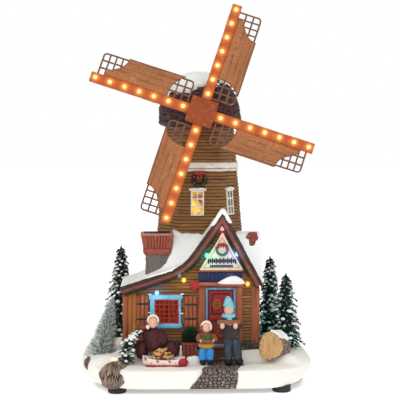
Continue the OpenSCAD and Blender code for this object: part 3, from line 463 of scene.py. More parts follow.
def snow_base():
    """Rings of the base's plan from the middle of the underside, out and up the skirt, and in over the top.
    Over the edge the surface rises as a quarter ellipse to the ground, in a longer sweep at the sides."""
    steps = 420
    rings = [np.column_stack([outline(11, steps) * share, np.full(steps, skirt_z + 0.4)])
             for share in (0.04, 0.5, 0.9)]
    rim, deep = outline(0.15, steps), outline(26, steps)
    rim[:, 0] -= 3.6 * smooth(50, 100, rim[:, 0])
    drawn = 8 + 8 * smooth(60, 100, np.abs(rim[:, 0])) + 4 * smooth(30, 75, rim[:, 1])
    for z in (0.0, 0.3, 0.6, 0.9, 1.8, 3.0, 4.2, 5.8, 7.4, 9.0, 10.6, 12.0, 13.6, 15.0, 16.4):
        edge = rim + (deep - rim) * (skirt_inset(z, drawn) / 26)[:, None]
        rings.append(np.column_stack([edge, np.full(steps, skirt_z + z)]))
    reach = front_reach + 12 * smooth(70, 100, rim[:, 0]) + 5 * smooth(70, 100, -rim[:, 0]) + 9 * smooth(20,
            75, rim[:, 1])
    for t in np.linspace(0.06, 1, 18):
        edge = rim + (deep - rim) * (reach * (1 - math.cos(t * math.pi / 2)) / 26)[:, None]
        top = ground_height(edge[:, 0], edge[:, 1])
        rings.append(np.column_stack([edge, lip + (top - lip) * math.sin(t * math.pi / 2)]))
    edge = rings[-1][:, :2]
    for share in np.linspace(0.985, 0.03, 92):
        flat = edge * share
        rings.append(np.column_stack([flat, ground_height(flat[:, 0], flat[:, 1])]))
    rings = np.array(rings)
    skirt = smooth(skirt_z, skirt_z + 3, rings[..., 2]) * smooth(skirt_z + 26, skirt_z + 12, rings[..., 2])
    rings[..., :2] *= 1 - np.abs(rough_noise(rings, 17, 21))[..., None] * skirt[..., None] * 0.012
    sunk = on_path(rings[..., 0], rings[..., 1], rings[..., 2]) * 1.3
    rings[..., 1] += sunk
    rings[..., 2] -= sunk * smooth(lip - 6, lip + 3, rings[..., 2])
    return loft(rings)


def snow_effect():
    """Snow paint: slow warm and cool shades, painted shade in the hollows and a fine crystalline grain."""
    group, feed, out = effect(
        "snow_skin",
        {"Vector": None, "Snow": (0.8, 0.8, 0.8, 1.0), "Shade": (0.6, 0.62, 0.66, 1.0), "Relief": 1.0},
        {"Color": "Color", "Rough": "Float", "Height": "Float"})
    slow = node(group, "TexNoise", {"Vector": feed.outputs["Vector"], "Scale": 45.0, "Detail": 4.0})
    fine = node(group, "TexNoise", {"Vector": feed.outputs["Vector"], "Scale": 1400.0, "Detail": 2.0})
    flecks = node(group, "TexVoronoi", {"Vector": feed.outputs["Vector"], "Scale": 900.0})
    # Low relief pulls the snow towards the shade colour: painted shade in the hollows.
    hollow = node(group, "MapRange", {"Value": feed.outputs["Relief"], "From Min": 0.0, "From Max": 0.75,
                                      "To Min": 0.75, "To Max": 0.0})
    patch = node(group, "MapRange",
                 {"Value": slow.outputs["Fac"], "From Min": 0.52, "From Max": 0.75, "To Max": 0.28})
    share = node(group, "Math", {0: hollow.outputs[0], 1: patch.outputs[0]}, operation="MAXIMUM")
    mixed = node(group, "Mix", {"Factor": share.outputs[0], "A": (0, 0, 0, 1)}, data_type="RGBA")
    group.links.new(feed.outputs["Snow"], mixed.inputs["A"])
    group.links.new(feed.outputs["Shade"], mixed.inputs["B"])
    group.links.new(mixed.outputs["Result"], out.inputs["Color"])
    rough = node(group, "MapRange", {"Value": flecks.outputs["Distance"], "To Min": 0.45, "To Max": 0.8})
    group.links.new(rough.outputs[0], out.inputs["Rough"])
    height = node(group, "Math", {0: fine.outputs["Fac"], 1: slow.outputs["Fac"]}, operation="ADD")
    group.links.new(height.outputs[0], out.inputs["Height"])
    return group


snow_skin = snow_effect()


def lamplight(material, tree, shader, strength=1.0):
    """Lets the glow that a piece's points carry shine from its surface, without making it a lamp."""
    material.cycles.emission_sampling = "NONE"
    glow = node(tree, "Attribute", attribute_name="glow")
    tree.links.new(glow.outputs["Color"], shader.inputs["Emission Color"])
    shader.inputs["Emission Strength"].default_value = strength


def snow_paint(name, snow, shade, bump=0.35):
    """A snow finish from the snow effect, with lamplight where lamps are near."""
    made, tree, shader, where = blank(name)
    relief = node(tree, "Attribute", attribute_name="relief").outputs["Fac"]
    skin = place(tree, snow_skin, Vector=where, Snow=snow, Shade=shade, Relief=relief)
    tree.links.new(skin.outputs["Color"], shader.inputs["Base Color"])
    tree.links.new(skin.outputs["Rough"], shader.inputs["Roughness"])
    shader.inputs["Specular IOR Level"].default_value = 0.25
    bumped(tree, shader, skin.outputs["Height"], bump, 0.0003)
    lamplight(made, tree, shader)
    return made


warm_snow = snow_paint("warm_snow", srgb(238, 234, 226), srgb(205, 198, 190))
cold_snow = snow_paint("cold_snow", srgb(236, 238, 236), srgb(188, 194, 198))
build("snow_mound", [(warm_snow, snow_base())], instead=["base_shell"])


def paint_effect():
    """The hobby finish of the whole casting: a base colour, its own shade for each board or stone by
    tone, streaks along a stretched grain, a dark colour washed in as painted shade where relief is low, and
    dry-brushed tops."""
    group, feed, out = effect(
        "wash_and_shade_paint",
        {"Vector": None, "Stretch": None, "Base": (0.5, 0.3, 0.1, 1.0), "Wash": (0.05, 0.03, 0.01, 1.0),
         "Brushed": (0.7, 0.5, 0.2, 1.0), "Relief": 1.0, "Tone": 0.5, "Grain": 300.0, "Depth": 0.5},
        {"Color": "Color", "Rough": "Float", "Height": "Float"})
    drawn = node(group, "VectorMath", {0: feed.outputs["Vector"], 1: feed.outputs["Stretch"]},
                 operation="MULTIPLY")
    streak = node(group, "TexNoise",
                  {"Vector": drawn.outputs[0], "Scale": feed.outputs["Grain"], "Detail": 4.0,
                                      "Roughness": 0.6})
    patch = node(group, "TexNoise", {"Vector": feed.outputs["Vector"], "Scale": 70.0, "Detail": 3.0})
    brushed = node(group, "MapRange", {"Value": streak.outputs["Fac"], "From Min": 0.5, "From Max": 0.72})
    shift = node(group, "Math", {0: feed.outputs["Tone"], 1: patch.outputs["Fac"], 2: -0.55},
                 operation="MULTIPLY_ADD")
    lit = node(group, "Math", {0: brushed.outputs[0], 1: shift.outputs[0]}, operation="ADD", use_clamp=True)
    top = node(group, "Mix", {"Factor": lit.outputs[0]}, data_type="RGBA")
    group.links.new(feed.outputs["Base"], top.inputs["A"])
    group.links.new(feed.outputs["Brushed"], top.inputs["B"])
    dark = node(group, "MapRange", {"Value": streak.outputs["Fac"], "From Min": 0.46, "From Max": 0.25})
    # Low relief pulls the colour towards the dark one: painted shade in grooves, under laps and in folds.
    low = node(group, "MapRange", {"Value": feed.outputs["Relief"], "From Min": 0.85, "From Max": 0.25})
    streak_and_shade = node(group, "Math", {0: dark.outputs[0], 1: feed.outputs["Depth"], 2: low.outputs[0]},
                operation="MULTIPLY_ADD", use_clamp=True)
    washed = node(group, "Mix", {"Factor": streak_and_shade.outputs[0]}, data_type="RGBA")
    group.links.new(top.outputs["Result"], washed.inputs["A"])
    group.links.new(feed.outputs["Wash"], washed.inputs["B"])
    group.links.new(washed.outputs["Result"], out.inputs["Color"])
    rough = node(group, "MapRange", {"Value": streak.outputs["Fac"], "To Min": 0.5, "To Max": 0.85})
    group.links.new(rough.outputs[0], out.inputs["Rough"])
    group.links.new(streak.outputs["Fac"], out.inputs["Height"])
    return group


wash_and_shade_paint = paint_effect()


def painted(name, base, wash_and_shade, brushed, stretch=(1, 1, 1), grain=300.0, depth=0.5, bump=0.4, shine=0.3):
    """A painted finish from the washed effect, with painted shade where relief is low and lamplight where
    lamps are near.
    """
    made, tree, shader, where = blank(name)
    relief = node(tree, "Attribute", attribute_name="relief").outputs["Fac"]
    tone = node(tree, "Attribute", attribute_name="tone").outputs["Fac"]
    skin = place(tree, wash_and_shade_paint, Vector=where, Stretch=stretch, Base=base, Wash=wash_and_shade, Brushed=brushed,
                 Relief=relief, Tone=tone, Grain=grain, Depth=depth)
    tree.links.new(skin.outputs["Color"], shader.inputs["Base Color"])
    tree.links.new(skin.outputs["Rough"], shader.inputs["Roughness"])
    shader.inputs["Specular IOR Level"].default_value = shine
    bumped(tree, shader, skin.outputs["Height"], bump, 0.0003)
    lamplight(made, tree, shader)
    return made


def plate(top, bottom, relief=1.0, tone=0.5, glow=None):
    """A closed shell between two grids of points of the same size, joined round their rims."""
    n, m = top.shape[:2]
    count = n * m
    index = np.arange(count).reshape(n, m)
    face = np.stack([index[:-1, :-1], index[:-1, 1:], index[1:, 1:], index[1:, :-1]], -1).reshape(-1, 4)
    rim = np.concatenate([index[0, :-1], index[:-1, -1], index[-1, :0:-1], index[:0:-1, 0]])
    nxt = np.roll(rim, -1)
    wall = np.stack([nxt, rim, rim + count, nxt + count], -1)
    quads = np.concatenate([face, face[:, ::-1] + count, wall])
    p = np.concatenate([top.reshape(-1, 3), bottom.reshape(-1, 3)])
    if six_volume(p, np.concatenate([quads[:, :3], quads[:, [0, 2, 3]]])) < 0:
        quads = quads[:, ::-1]
    twice = lambda v: np.tile(np.broadcast_to(np.asarray(v, float), (n, m)).ravel(), 2)
    light = 0.0 if glow is None else np.tile(np.broadcast_to(glow, (n, m, 3)).reshape(-1, 3), (2, 1))
    return shell(p, quads, np.zeros((0, 3), int), twice(relief), twice(tone), light)


def cobbled_path():
    """A strip between two given edges that lies on the snow and rolls over the front of the base.
    Across it and along it a cobble pattern raises each stone above its dark joints."""
    across, along = 130, 190
    u, v = np.linspace(0, 1, across)[None, :], np.linspace(0, 1, along)[:, None]
    at = np.linspace(0, 1, len(path_left))
    edge = lambda line, k: np.interp(v, at, line[:, k])
    wobble = 1.1 * rough_noise(np.stack([v[:, 0] * 60, 0 * v[:, 0], 0 * v[:, 0]], -1), 5, 4)[:, None]
    x = edge(path_left, 0) + wobble + (edge(path_right, 0) - edge(path_left, 0)) * u
    y = edge(path_left, 1) + 0 * u
    x, y = np.broadcast_arrays(x, y)
    front = base_low[1]
    over = np.clip((y - front) / front_reach, 0, 1)
    top = ground_height(x, np.maximum(y, front + front_reach))
    rolled = lip + (top - lip) * np.sqrt(np.clip(1 - (1 - over) ** 2, 0, 1))
    down = np.clip((-76.0 - y) / 3.0, 0, 1)
    z = np.where(down > 0, lip - 0.4 - (lip - skirt_z - 0.6) * down, rolled)
    y = np.where(down > 0, front + skirt_inset(z - skirt_z), np.maximum(y, front + 0.2))
    run = np.cumsum(np.hypot(np.diff(y[:, 0], prepend=y[0, 0]), np.diff(z.mean(1), prepend=z[0].mean())))[:,
            None]
    _, gap, own = cells(x / 3.7, run / 3.0 + 0 * x, 5)
    stone = smooth(0.03, 0.3, gap)
    border = smooth(0, 0.05, np.minimum(u, 1 - u)) * smooth(0, 0.03, v + 0.0)
    normal_y, normal_z = np.gradient(z, axis=0), -np.gradient(y, axis=0)
    size = np.hypot(normal_y, normal_z) + 1e-9
    normal_y, normal_z = -np.abs(normal_y) / size, np.abs(normal_z) / size
    rise = 0.25 + (1.0 * stone * (0.7 + 0.6 * own) - 0.25) * border
    inside = np.stack([x, np.maximum(y, front + 0.3) + 1.5, np.maximum(z - 1.5, skirt_z + 0.5)], -1)
    top = np.stack([x, np.maximum(y + normal_y * rise, front), z + normal_z * rise], -1)
    return plate(top, inside, relief=stone * 0.95, tone=own)


stone_paint = painted("cobble_paint", srgb(112, 100, 92), srgb(40, 34, 32), srgb(196, 186, 176), grain=420.0,
                      depth=0.4)
build("cobbled_path", [(stone_paint, cobbled_path())])


def lump(centre, size, seed, rows=28, around=40, rough=0.16, bark=0.0):
    """A closed pebble form: an ellipsoid's radius varied by noise, and by upright ridges where it is bark."""
    a = np.linspace(0, TURN, around, endpoint=False)[None, :]
    e = np.linspace(-math.pi / 2 + 0.03, math.pi / 2 - 0.03, rows)[:, None]
    way = np.stack([np.cos(e) * np.cos(a), np.cos(e) * np.sin(a), np.sin(e) + 0 * a], -1)
    swell = 1 + rough * rough_noise(way, 0.7, seed)
    _, gap, own = cells(a * 46 / TURN + 1.6 * (noise(way, 0.5, seed) - 0.5), e * 0.9 + 0 * a, seed)
    groove = 1 - bark * (1 - smooth(0.0, 0.35, gap))
    size = np.asarray(size, float)
    return loft(np.asarray(centre, float) + way * size * (swell * groove)[..., None],
                relief=(groove - (1 - bark)) / max(bark, 1e-6) if bark else 1.0, tone=own)


bark_paint = painted("bark_paint", srgb(138, 116, 102), srgb(54, 42, 36), srgb(200, 186, 174),
                     stretch=(1, 1, 0.2), depth=0.5)
stumps = joined(lump((-74.0, -66.5, 17.0), (13.6, 10.0, 11.8), 1, rows=70, around=220, bark=0.07),
                lump((-98.0, -46.0, 23.0), (3.6, 5.4, 6.2), 3, rows=40, around=110, bark=0.12))
build("bark_lumps", [(bark_paint, stumps)])
# A small snow tuft on the larger bark lump with a pale yellow glow: painted lamplight, though the tuft is no
# lamp.
glint = lump((-74.0, -58.5, 28.6), (3.4, 3.0, 2.0), 6, rough=0.3)
glint["glow"][:] = (0.5, 0.42, 0.16)
build("lit_tuft", [(warm_snow, glint)])

# ---- the cottage's walls ----
# The casting's walls are modelled as lapped boards on a rubble footing, with squared corner posts at
# the front. They are painted ochre and brown, with painted shade washed dark into the laps; the posts are
# brick red.

barge_low, barge_high = span("barge_boards")
sign_low, sign_high = span("gable_sign")
roof_t = 4.0
apex = np.array([(sign_low[0] + sign_high[0]) / 2 + 1, barge_high[2]])
left_eave = np.array([barge_low[0], floor_z + 53])
right_eave = np.array([barge_high[0], floor_z + 56])
knee = np.array([apex[0] - 34.5, floor_z + 71])
front_y, back_y = wall_low[1], wall_high[1]


def bend(a, b, c, n):
    """A quadratic curve from a to c that leans towards b: (1-t)^2 a + 2t(1-t) b + t^2 c."""
    t = np.linspace(0, 1, n)[:, None]
    return (1 - t) ** 2 * np.asarray(a) + 2 * t * (1 - t) * np.asarray(b) + t * t * np.asarray(c)


def shifted(line, d):
    """A line moved sideways by d: each corner goes along the mean of its two runs' upward normals."""
    run = np.diff(line, axis=0)
    up = np.stack([-run[:, 1], run[:, 0]], -1) / np.hypot(*run.T)[:, None]
    first, second = np.vstack([up[:1], up]), np.vstack([up, up[-1:]])
    mid = first + second
    mid /= np.hypot(*mid.T)[:, None]
    return line + mid * (d / np.sum(mid * first, 1))[:, None]


knee_share = 0.26
roof_line = np.vstack([left_eave,
                       bend(knee + knee_share * (left_eave - knee), knee, knee + knee_share * (apex - knee),
                            9),
                       apex, right_eave])
ridge_line = np.array([[front_y + 4, floor_z + 71], [-12, floor_z + 96], [back_y + 3, floor_z + 54]])
roof_z = lambda x: np.interp(x, roof_line[:, 0], roof_line[:, 1])


def sides(line, low, high):
    """The left and right limits, at each height, of a wall that ends under this line."""
    top = np.argmax(line[:, 1])
    left = lambda z: np.clip(np.interp(z, line[:top + 1, 1], line[:top + 1, 0]), low, high)
    right = lambda z: np.clip(np.interp(z, line[top:, 1][::-1], line[top:, 0][::-1]), low, high)
    return left, right


def boards(z, pitch, left, right, origin, along, out, proud=0.9, stations=12, seed=1, lift=None):
    """Rows of lapped boards on a wall. Each board is a wedge section, thick at its foot, carried between
    its row's limits; each row is two boards that meet at a random place. origin, along and out set the
    wall: a point on it, the way along it and the way out of it. lift is its slope per millimetre
    of height."""
    rng = np.random.default_rng(seed)
    z = np.asarray(z, float)
    rows = len(z)
    cut = rng.uniform(0.2, 0.8, rows)
    section = np.array([(-0.05, -0.5), (0.0, proud), (0.16, proud * 1.12), (0.8, proud * 0.62),
                        (0.93, proud * 0.25), (1.0, -0.5)])
    # Low relief at the board's foot and along its top edge, tucked under the next lap, gives painted shade
    # under the laps.
    relief = np.array([0.0, 0.55, 1.0, 0.95, 0.15, 0.0])
    s = np.linspace(0, 1, stations)
    share = np.stack([s * cut[:, None] * 0.998, 1 - (1 - s) * (1 - cut[:, None]) * 0.998], 1)
    h = (z[:, None] + section[:, 0] * pitch)[:, None, None, :]
    x = left(h) + (right(h) - left(h)) * share[..., None]
    wave = np.stack([x / 3, np.broadcast_to(z[:, None, None, None], x.shape), 0 * x], -1)
    h = h + 0.12 * pitch * rough_noise(wave, 6, seed) + 0 * x
    push = section[:, 1] + (0.22 * rough_noise(wave, 4, seed + 5)
                            + rng.uniform(-0.12, 0.12, rows)[:, None, None, None]) * (section[:, 1] > 0)
    along, out, origin = (np.asarray(v, float) for v in (along, out, origin))
    p = origin + x[..., None] * along + push[..., None] * out
    p[..., 2] += h - origin[2]
    if lift is not None:
        p += (lift(h)[..., None]) * out
    p = p.reshape(rows * 2, stations, 6, 3)
    tone = rng.uniform(0, 1, (rows * 2, 1, 1))
    return loft(p, relief, tone)


under = shifted(roof_line, -roof_t - 0.3)
under_ridge = shifted(ridge_line, -roof_t - 0.3)
footing_top = floor_z + 4.5
board_pitch = 2.9
wall_left, wall_right = wall_low[0], wall_high[0]


def courses(top):
    """Feet of the board rows from the footing up to a height."""
    return np.arange(footing_top, top - board_pitch * 0.6, board_pitch)


X, Y, Z = np.eye(3)
gable_sides = sides(under, wall_left, wall_right)
ridge_sides = sides(under_ridge, front_y, back_y)
side_sides = (lambda z: 0 * z + front_y, lambda z: 0 * z + back_y)
right_eave_z, left_eave_z = np.interp(wall_right, under[:, 0], under[:, 1]), np.interp(wall_left, under[:, 0],
        under[:, 1])
siding = joined(
    boards(courses(apex[1] - 6), board_pitch, *gable_sides, (0, front_y, 0), X, -Y, seed=11),
    boards(courses(apex[1] - 6), board_pitch, *gable_sides, (0, back_y, 0), X, Y, seed=12),
    boards(courses(left_eave_z), board_pitch, *side_sides, (wall_left, 0, 0), Y, -X, seed=13),
    boards(courses(right_eave_z), board_pitch, *side_sides, (wall_right, 0, 0), Y, X, seed=14),
    boards(np.arange(right_eave_z - 0.5, ridge_line[1, 1] - 8, board_pitch), board_pitch, *ridge_sides,
           (wall_right, 0, 0), Y, X, seed=15))


def block(low, high, bevel=0.4, axis=2, wobble=0.0, seed=0, relief=1.0, tone=0.5, steps=2):
    """Bevelled blocks from their lowest to their highest corners: an eight-sided section carried along
    one axis, drawn in by the bevel at each end. wobble moves the surface by noise."""
    low, high = np.atleast_2d(np.asarray(low, float)), np.atleast_2d(np.asarray(high, float))
    b, c = [k for k in range(3) if k != axis]
    side = lambda k, s: (low[:, k, None, None], high[:, k, None, None])[s]
    at = np.concatenate([[0, 0], np.linspace(0, 1, steps)[1:-1], [1, 1]])
    inset = np.zeros(len(at))
    inset[[0, -1]] = bevel
    drawn = np.zeros(len(at))
    drawn[1], drawn[-2] = bevel, -bevel
    e, i = bevel, inset[None, :, None]
    pick_b = [(0, e), (1, -e), (1, 0), (1, 0), (1, -e), (0, e), (0, 0), (0, 0)]
    pick_c = [(0, 0), (0, 0), (0, e), (1, -e), (1, 0), (1, 0), (1, -e), (0, e)]
    put = lambda k, picks: np.concatenate([side(k, s) + m + (i if s == 0 else -i) for s, m in picks], -1)
    p = np.empty((len(low), len(at), 8, 3))
    p[..., b], p[..., c] = put(b, pick_b), put(c, pick_c)
    p[..., axis] = (low[:, axis, None] + (high - low)[:, axis, None] * at + drawn)[..., None]
    if wobble:
        p += wobble * np.stack([rough_noise(p, 7, seed + k) for k in range(3)], -1)
    return loft(p, relief, tone if np.ndim(tone) == 0 else np.asarray(tone)[:, None, None])


def rubble(run, height, origin, along, out, size=3.4, seed=2, thick=1.0):
    """A strip of rubble on a wall: cobbles of the cell pattern stand out of their joints."""
    u, v = np.meshgrid(np.linspace(0, run, int(run / 0.75)), np.linspace(0, height, 12), indexing="ij")
    _, gap, own = cells(u / size, v / (size * 0.7), seed)
    stone = smooth(0.02, 0.3, gap)
    edge = smooth(0, 0.9, np.minimum(v, height - v) + 0.5)
    base = np.asarray(origin, float) + u[..., None] * np.asarray(along) + v[..., None] * Z
    out = np.asarray(out, float)
    return plate(base + (0.4 + thick * stone * edge * (0.6 + 0.8 * own))[..., None] * out, base - 0.4 * out,
                 stone, own)


depth, width = back_y - front_y, wall_right - wall_left
footing_h = footing_top - floor_z + 4
footing = joined(
    rubble(width + 2, footing_h, (wall_left - 1, front_y - 1, floor_z - 4), X, -Y, seed=1),
    rubble(width + 2, footing_h, (wall_left - 1, back_y + 1, floor_z - 4), X, Y, seed=2),
    rubble(depth + 2, footing_h, (wall_left - 1, front_y - 1, floor_z - 4), Y, -X, seed=3),
    rubble(depth + 2, footing_h, (wall_right + 1, front_y - 1, floor_z - 4), Y, X, seed=4))

bulb_spots = {"sky": ((-37.2, 85.0), (0.25, 0.55, 1.0)), "amber_left": ((-13.4, 96.3), (1.0, 0.5, 0.08)),
              "amber_right": ((43.2, 92.6), (1.0, 0.42, 0.06)), "teal": ((7.0, 118.1), (0.15, 0.9, 0.6)),
              "pink": ((20.6, 142.0), (1.0, 0.3, 0.35)), "blue_right": ((33.8, 119.2), (0.3, 0.5, 1.0))}



def lamp_glow(points, reach=5.0, power=0.35, names=None):
    """Coloured light of the garland's bulbs at each point: each bulb's colour, fading with the square
    of the distance."""
    light = np.zeros(points.shape[:-1] + (3,))
    for name, ((x, z), colour) in bulb_spots.items():
        if names is None or name in names:
            d = np.linalg.norm(points - np.array([x, front_y - 5.0, z]), axis=-1)
            light += np.exp(-(d / reach) ** 1.6)[..., None] * np.array(colour) * power
    return light


def lit(part, **settings):
    """A shell with the bulbs' light added to what its points carry."""
    part["glow"] = part["glow"] + lamp_glow(part["p"], **settings) * part["relief"][:, None]
    return part


ochre_boards = painted("ochre_boards", srgb(128, 84, 46), srgb(44, 25, 14), srgb(176, 128, 78),
                       stretch=(0.12, 0.12, 1), depth=0.7)
footing_paint = painted("footing_paint", srgb(84, 72, 64), srgb(30, 25, 22), srgb(150, 134, 120), depth=0.4)
build("wall_boards", [(ochre_boards, lit(siding, reach=6, power=0.25)), (footing_paint, footing)])
inner_wall = moulded("inner_wall", srgb(70, 46, 26), rough=0.7, cloud=90.0, amount=0.5)
finish(inner_wall, "house_walls")

red_boards = painted("red_boards", srgb(150, 82, 54), srgb(54, 26, 18), srgb(190, 122, 90),
                     stretch=(1, 1, 0.1), depth=0.7)
post_ochre = painted("post_ochre", srgb(158, 96, 44), srgb(60, 30, 12), srgb(206, 146, 80),
                     stretch=(1, 1, 0.1), depth=0.7)
post_low, post_high = span("corner_posts")
left_top, right_top = floor_z + 46, floor_z + 52
posts_red = joined(
    block((post_low[0], front_y - 2.0, floor_z - 2), (post_low[0] + 4.6, front_y + 3, left_top), 0.7,
          wobble=0.3, steps=12),
    block((post_high[0] - 7.4, front_y - 1.9, floor_z - 2), (post_high[0], front_y + 3, right_top), 0.7,
          wobble=0.3, seed=4, steps=12))
posts_ochre = joined(
    block((post_low[0] + 4.8, front_y - 1.7, floor_z + 3), (post_low[0] + 8.4, front_y, left_top + 1), 0.5,
          wobble=0.25, seed=5, steps=12),
    block((post_low[0] + 8.6, front_y - 1.5, floor_z + 3), (post_low[0] + 12.4, front_y, left_top + 2), 0.5,
          wobble=0.25, seed=6, steps=12))
build("corner_posts_painted", [(red_boards, lit(posts_red)), (post_ochre, lit(posts_ochre))],
      instead=["corner_posts"])

# ---- the door, its frame, hood and steps ----
# A ledged red door with two sunk panels and a gilt ring, in a grey-blue frame between two posts. The
# hood is a short beam that carries a snowdrift, under a dark painted panel; two plank steps lead up.

door_low, door_high = span("door_leaf")
frame_low, frame_high = span("door_frame")
steps_low, steps_high = span("door_steps")
door_face = front_y - 1.9
dx0, dx1, dz0, dz1 = door_low[0], door_high[0], door_low[2], door_high[2]


def panelled(x0, x1, z0, z1, y, sunk):
    """A door leaf as a surface: its depth steps down by an S-curve inside each sunk panel, with a few
    upright board joints."""
    x, z = np.meshgrid(np.linspace(x0, x1, 74), np.linspace(z0, z1, 120), indexing="ij")
    drop = np.zeros_like(x)
    for a0, a1, b0, b1 in sunk:
        inside = np.minimum(np.minimum(x - a0, a1 - x), np.minimum(z - b0, b1 - z))
        drop = np.maximum(drop, smooth(0, 0.9, inside) * 0.8 - smooth(1.8, 2.6, inside) * 0.45)
    joint = smooth(0.28, 0.0, np.abs((x - x0) % 3.7 - 1.85)) * 0.35
    front = np.stack([x, y + drop + joint, z], -1)
    # Sunk parts get lower relief: painted shade in the panels' grooves, along with dark board joints.
    return plate(front, np.stack([x, 0 * x + front_y + 1.5, z], -1), relief=1 - drop * 0.8 - joint * 1.5)


mid_z = (dz0 + dz1) / 2
leaf = panelled(dx0, dx1, dz0 + 1.5, dz1, door_face,
                [(dx0 + 2.4, dx1 - 2.4, mid_z + 1.5, dz1 - 2.6),
                 (dx0 + 2.4, dx1 - 2.4, dz0 + 3.5, mid_z - 1.5)])


def hoop(centre, r, thick, axis=1, steps=40, around=10, squash=1.0, relief=1.0, tone=0.5):
    """A ring: a small circle carried round a larger one that faces along an axis."""
    a, b = np.meshgrid(np.linspace(0, TURN, steps, endpoint=False),
                       np.linspace(0, TURN, around, endpoint=False), indexing="ij")
    p = np.empty(a.shape + (3,))
    u, v = [k for k in range(3) if k != axis]
    p[..., u] = (r + thick * np.cos(b)) * np.cos(a)
    p[..., v] = (r + thick * np.cos(b)) * np.sin(a) * squash
    p[..., axis] = thick * np.sin(b)
    return loft(np.asarray(centre, float) + p, relief, tone, ring=True)


door_mid = (dx0 + dx1) / 2
gilt = painted("gilt", srgb(150, 96, 34), srgb(90, 40, 16), srgb(214, 168, 84), grain=700.0)
door_red = painted("door_red", srgb(158, 28, 32), srgb(62, 12, 14), srgb(196, 62, 52), stretch=(1, 1, 0.15),
                   depth=0.45, shine=0.45)
ring_z = dz1 - 13
ornament = joined(hoop((door_mid - 3.4, door_face - 0.1, ring_z), 3.1, 0.62, squash=1.25),
                  hoop((door_mid - 3.4, door_face - 0.1, ring_z), 1.3, 0.4, squash=1.25),
                  lump((dx1 - 3, door_face - 0.5, mid_z - 3), (0.9, 0.9, 0.9), 5, rows=10, around=14),
                  hoop((door_mid, door_face - 0.1, dz0 + 12), 2.6, 0.5, squash=1.3))
build("door", [(door_red, lit(leaf)), (gilt, ornament)], instead=["door_leaf"])

blue_wood = painted("blue_wood", srgb(98, 134, 160), srgb(34, 52, 70), srgb(166, 196, 210),
                    stretch=(1, 1, 0.2), depth=0.5)
hood_red = painted("hood_red", srgb(152, 76, 56), srgb(58, 24, 16), srgb(206, 134, 104), stretch=(0.1, 1, 1),
                   depth=0.6)
night_blue = painted("night_blue", srgb(34, 44, 84), srgb(12, 14, 30), srgb(96, 104, 128),
                     stretch=(0.2, 1, 1), grain=420.0, depth=0.8)
gap_shade = painted("gap_shade", srgb(30, 22, 20), srgb(12, 9, 8), srgb(46, 34, 30))
jamb = 2.2
blue_parts = joined(
    block((dx0 - jamb, front_y - 3.0, dz0), (dx0, front_y + 0.5, dz1 + jamb), 0.45, wobble=0.12, steps=8),
    block((dx1, front_y - 3.0, dz0), (dx1 + jamb, front_y + 0.5, dz1 + jamb), 0.45, wobble=0.12, seed=2,
          steps=8),
    block((dx0 - 0.2, front_y - 2.9, dz1), (dx1 + 0.2, front_y + 0.5, dz1 + jamb), 0.45, axis=0, wobble=0.12,
          seed=3, steps=6),
    block((dx0 + 1.5, front_y - 3.6, dz0 - 2.6), (dx1 - 3, front_y + 0.5, dz0 + 1.6), 0.5, axis=0,
          wobble=0.15, seed=3, steps=6))
rebate = 0.9
# Dark strips along the leaf's sides and head stand for the gap round the door: painted shade.
gap_shadows = joined(block((dx0 + 0.05, front_y - 2.5, dz0 + 1.4), (dx0 + rebate, front_y, dz1 - 0.05), 0.1),
              block((dx1 - rebate, front_y - 2.5, dz0 + 1.4), (dx1 - 0.05, front_y, dz1 - 0.05), 0.1),
              block((dx0, front_y - 2.5, dz1 - rebate), (dx1, front_y, dz1 - 0.05), 0.1, axis=0))
hood_z = frame_low[2] + 53.2
post_parts = joined(
    block((frame_low[0], front_y - 2.7, floor_z + 2), (dx0 - jamb - 0.1, front_y + 0.5, hood_z), 0.6,
          wobble=0.25, seed=7, steps=12),
    block((dx1 + jamb + 0.1, front_y - 2.7, floor_z + 2), (frame_high[0] - 0.6, front_y + 0.5, hood_z), 0.6,
          wobble=0.25, seed=8, steps=12))


def drift(x0, x1, y0, y1, z, height, seed, peak=0.62):
    """A snowdrift on a ledge: a lump whose height rises and falls along it, steepest towards its peak."""
    s = np.linspace(0.0, 1.0, 40)[:, None]
    a = np.linspace(0, TURN, 26, endpoint=False)[None, :]
    full = np.sqrt(np.clip(np.sin(math.pi * s ** (math.log(0.5) / math.log(peak))), 1e-4, 1)) ** 1.1
    mid_y, half_y = (y0 + y1) / 2, (y1 - y0) / 2
    x = x0 + (x1 - x0) * s + 0 * a
    y = mid_y + half_y * np.cos(a) * (0.45 + 0.55 * full)
    zz = z + np.where(np.sin(a) > 0, np.abs(np.sin(a)) ** 0.8, -0.12 * np.abs(np.sin(a))) * height * full
    p = np.stack([x, y, zz], -1)
    p += 0.5 * np.stack([rough_noise(p, 5, seed + k) for k in range(3)], -1) * full[..., None]
    return loft(p)


hood_parts = block((frame_low[0] - 0.4, front_y - 4.6, hood_z), (frame_high[0] + 0.2, front_y, hood_z + 3.4),
                   0.8, axis=0, wobble=0.4, seed=9, steps=14)
hood_parts["p"][:, 2] += (hood_parts["p"][:, 0] - frame_low[0]) / (frame_high[0] - frame_low[0]) * -1.2 + 0.5
panel_x = np.linspace(frame_low[0] + 0.3, frame_high[0] - 0.5, 12)
panel = block(np.stack([panel_x[:-1], np.full(11, front_y - 1.4), np.full(11, hood_z + 3)], -1),
              np.stack([panel_x[1:] - 0.25, np.full(11, front_y), np.full(11, sign_low[2] - 1.6)], -1), 0.35,
              wobble=0.2,
              tone=np.random.default_rng(3).uniform(0, 1, 11), steps=5)
ledge = block((frame_low[0] - 1, front_y - 2.6, sign_low[2] - 1.7),
              (frame_high[0] + 1, front_y, sign_low[2] - 0.1), 0.4, axis=0, wobble=0.25, steps=14)
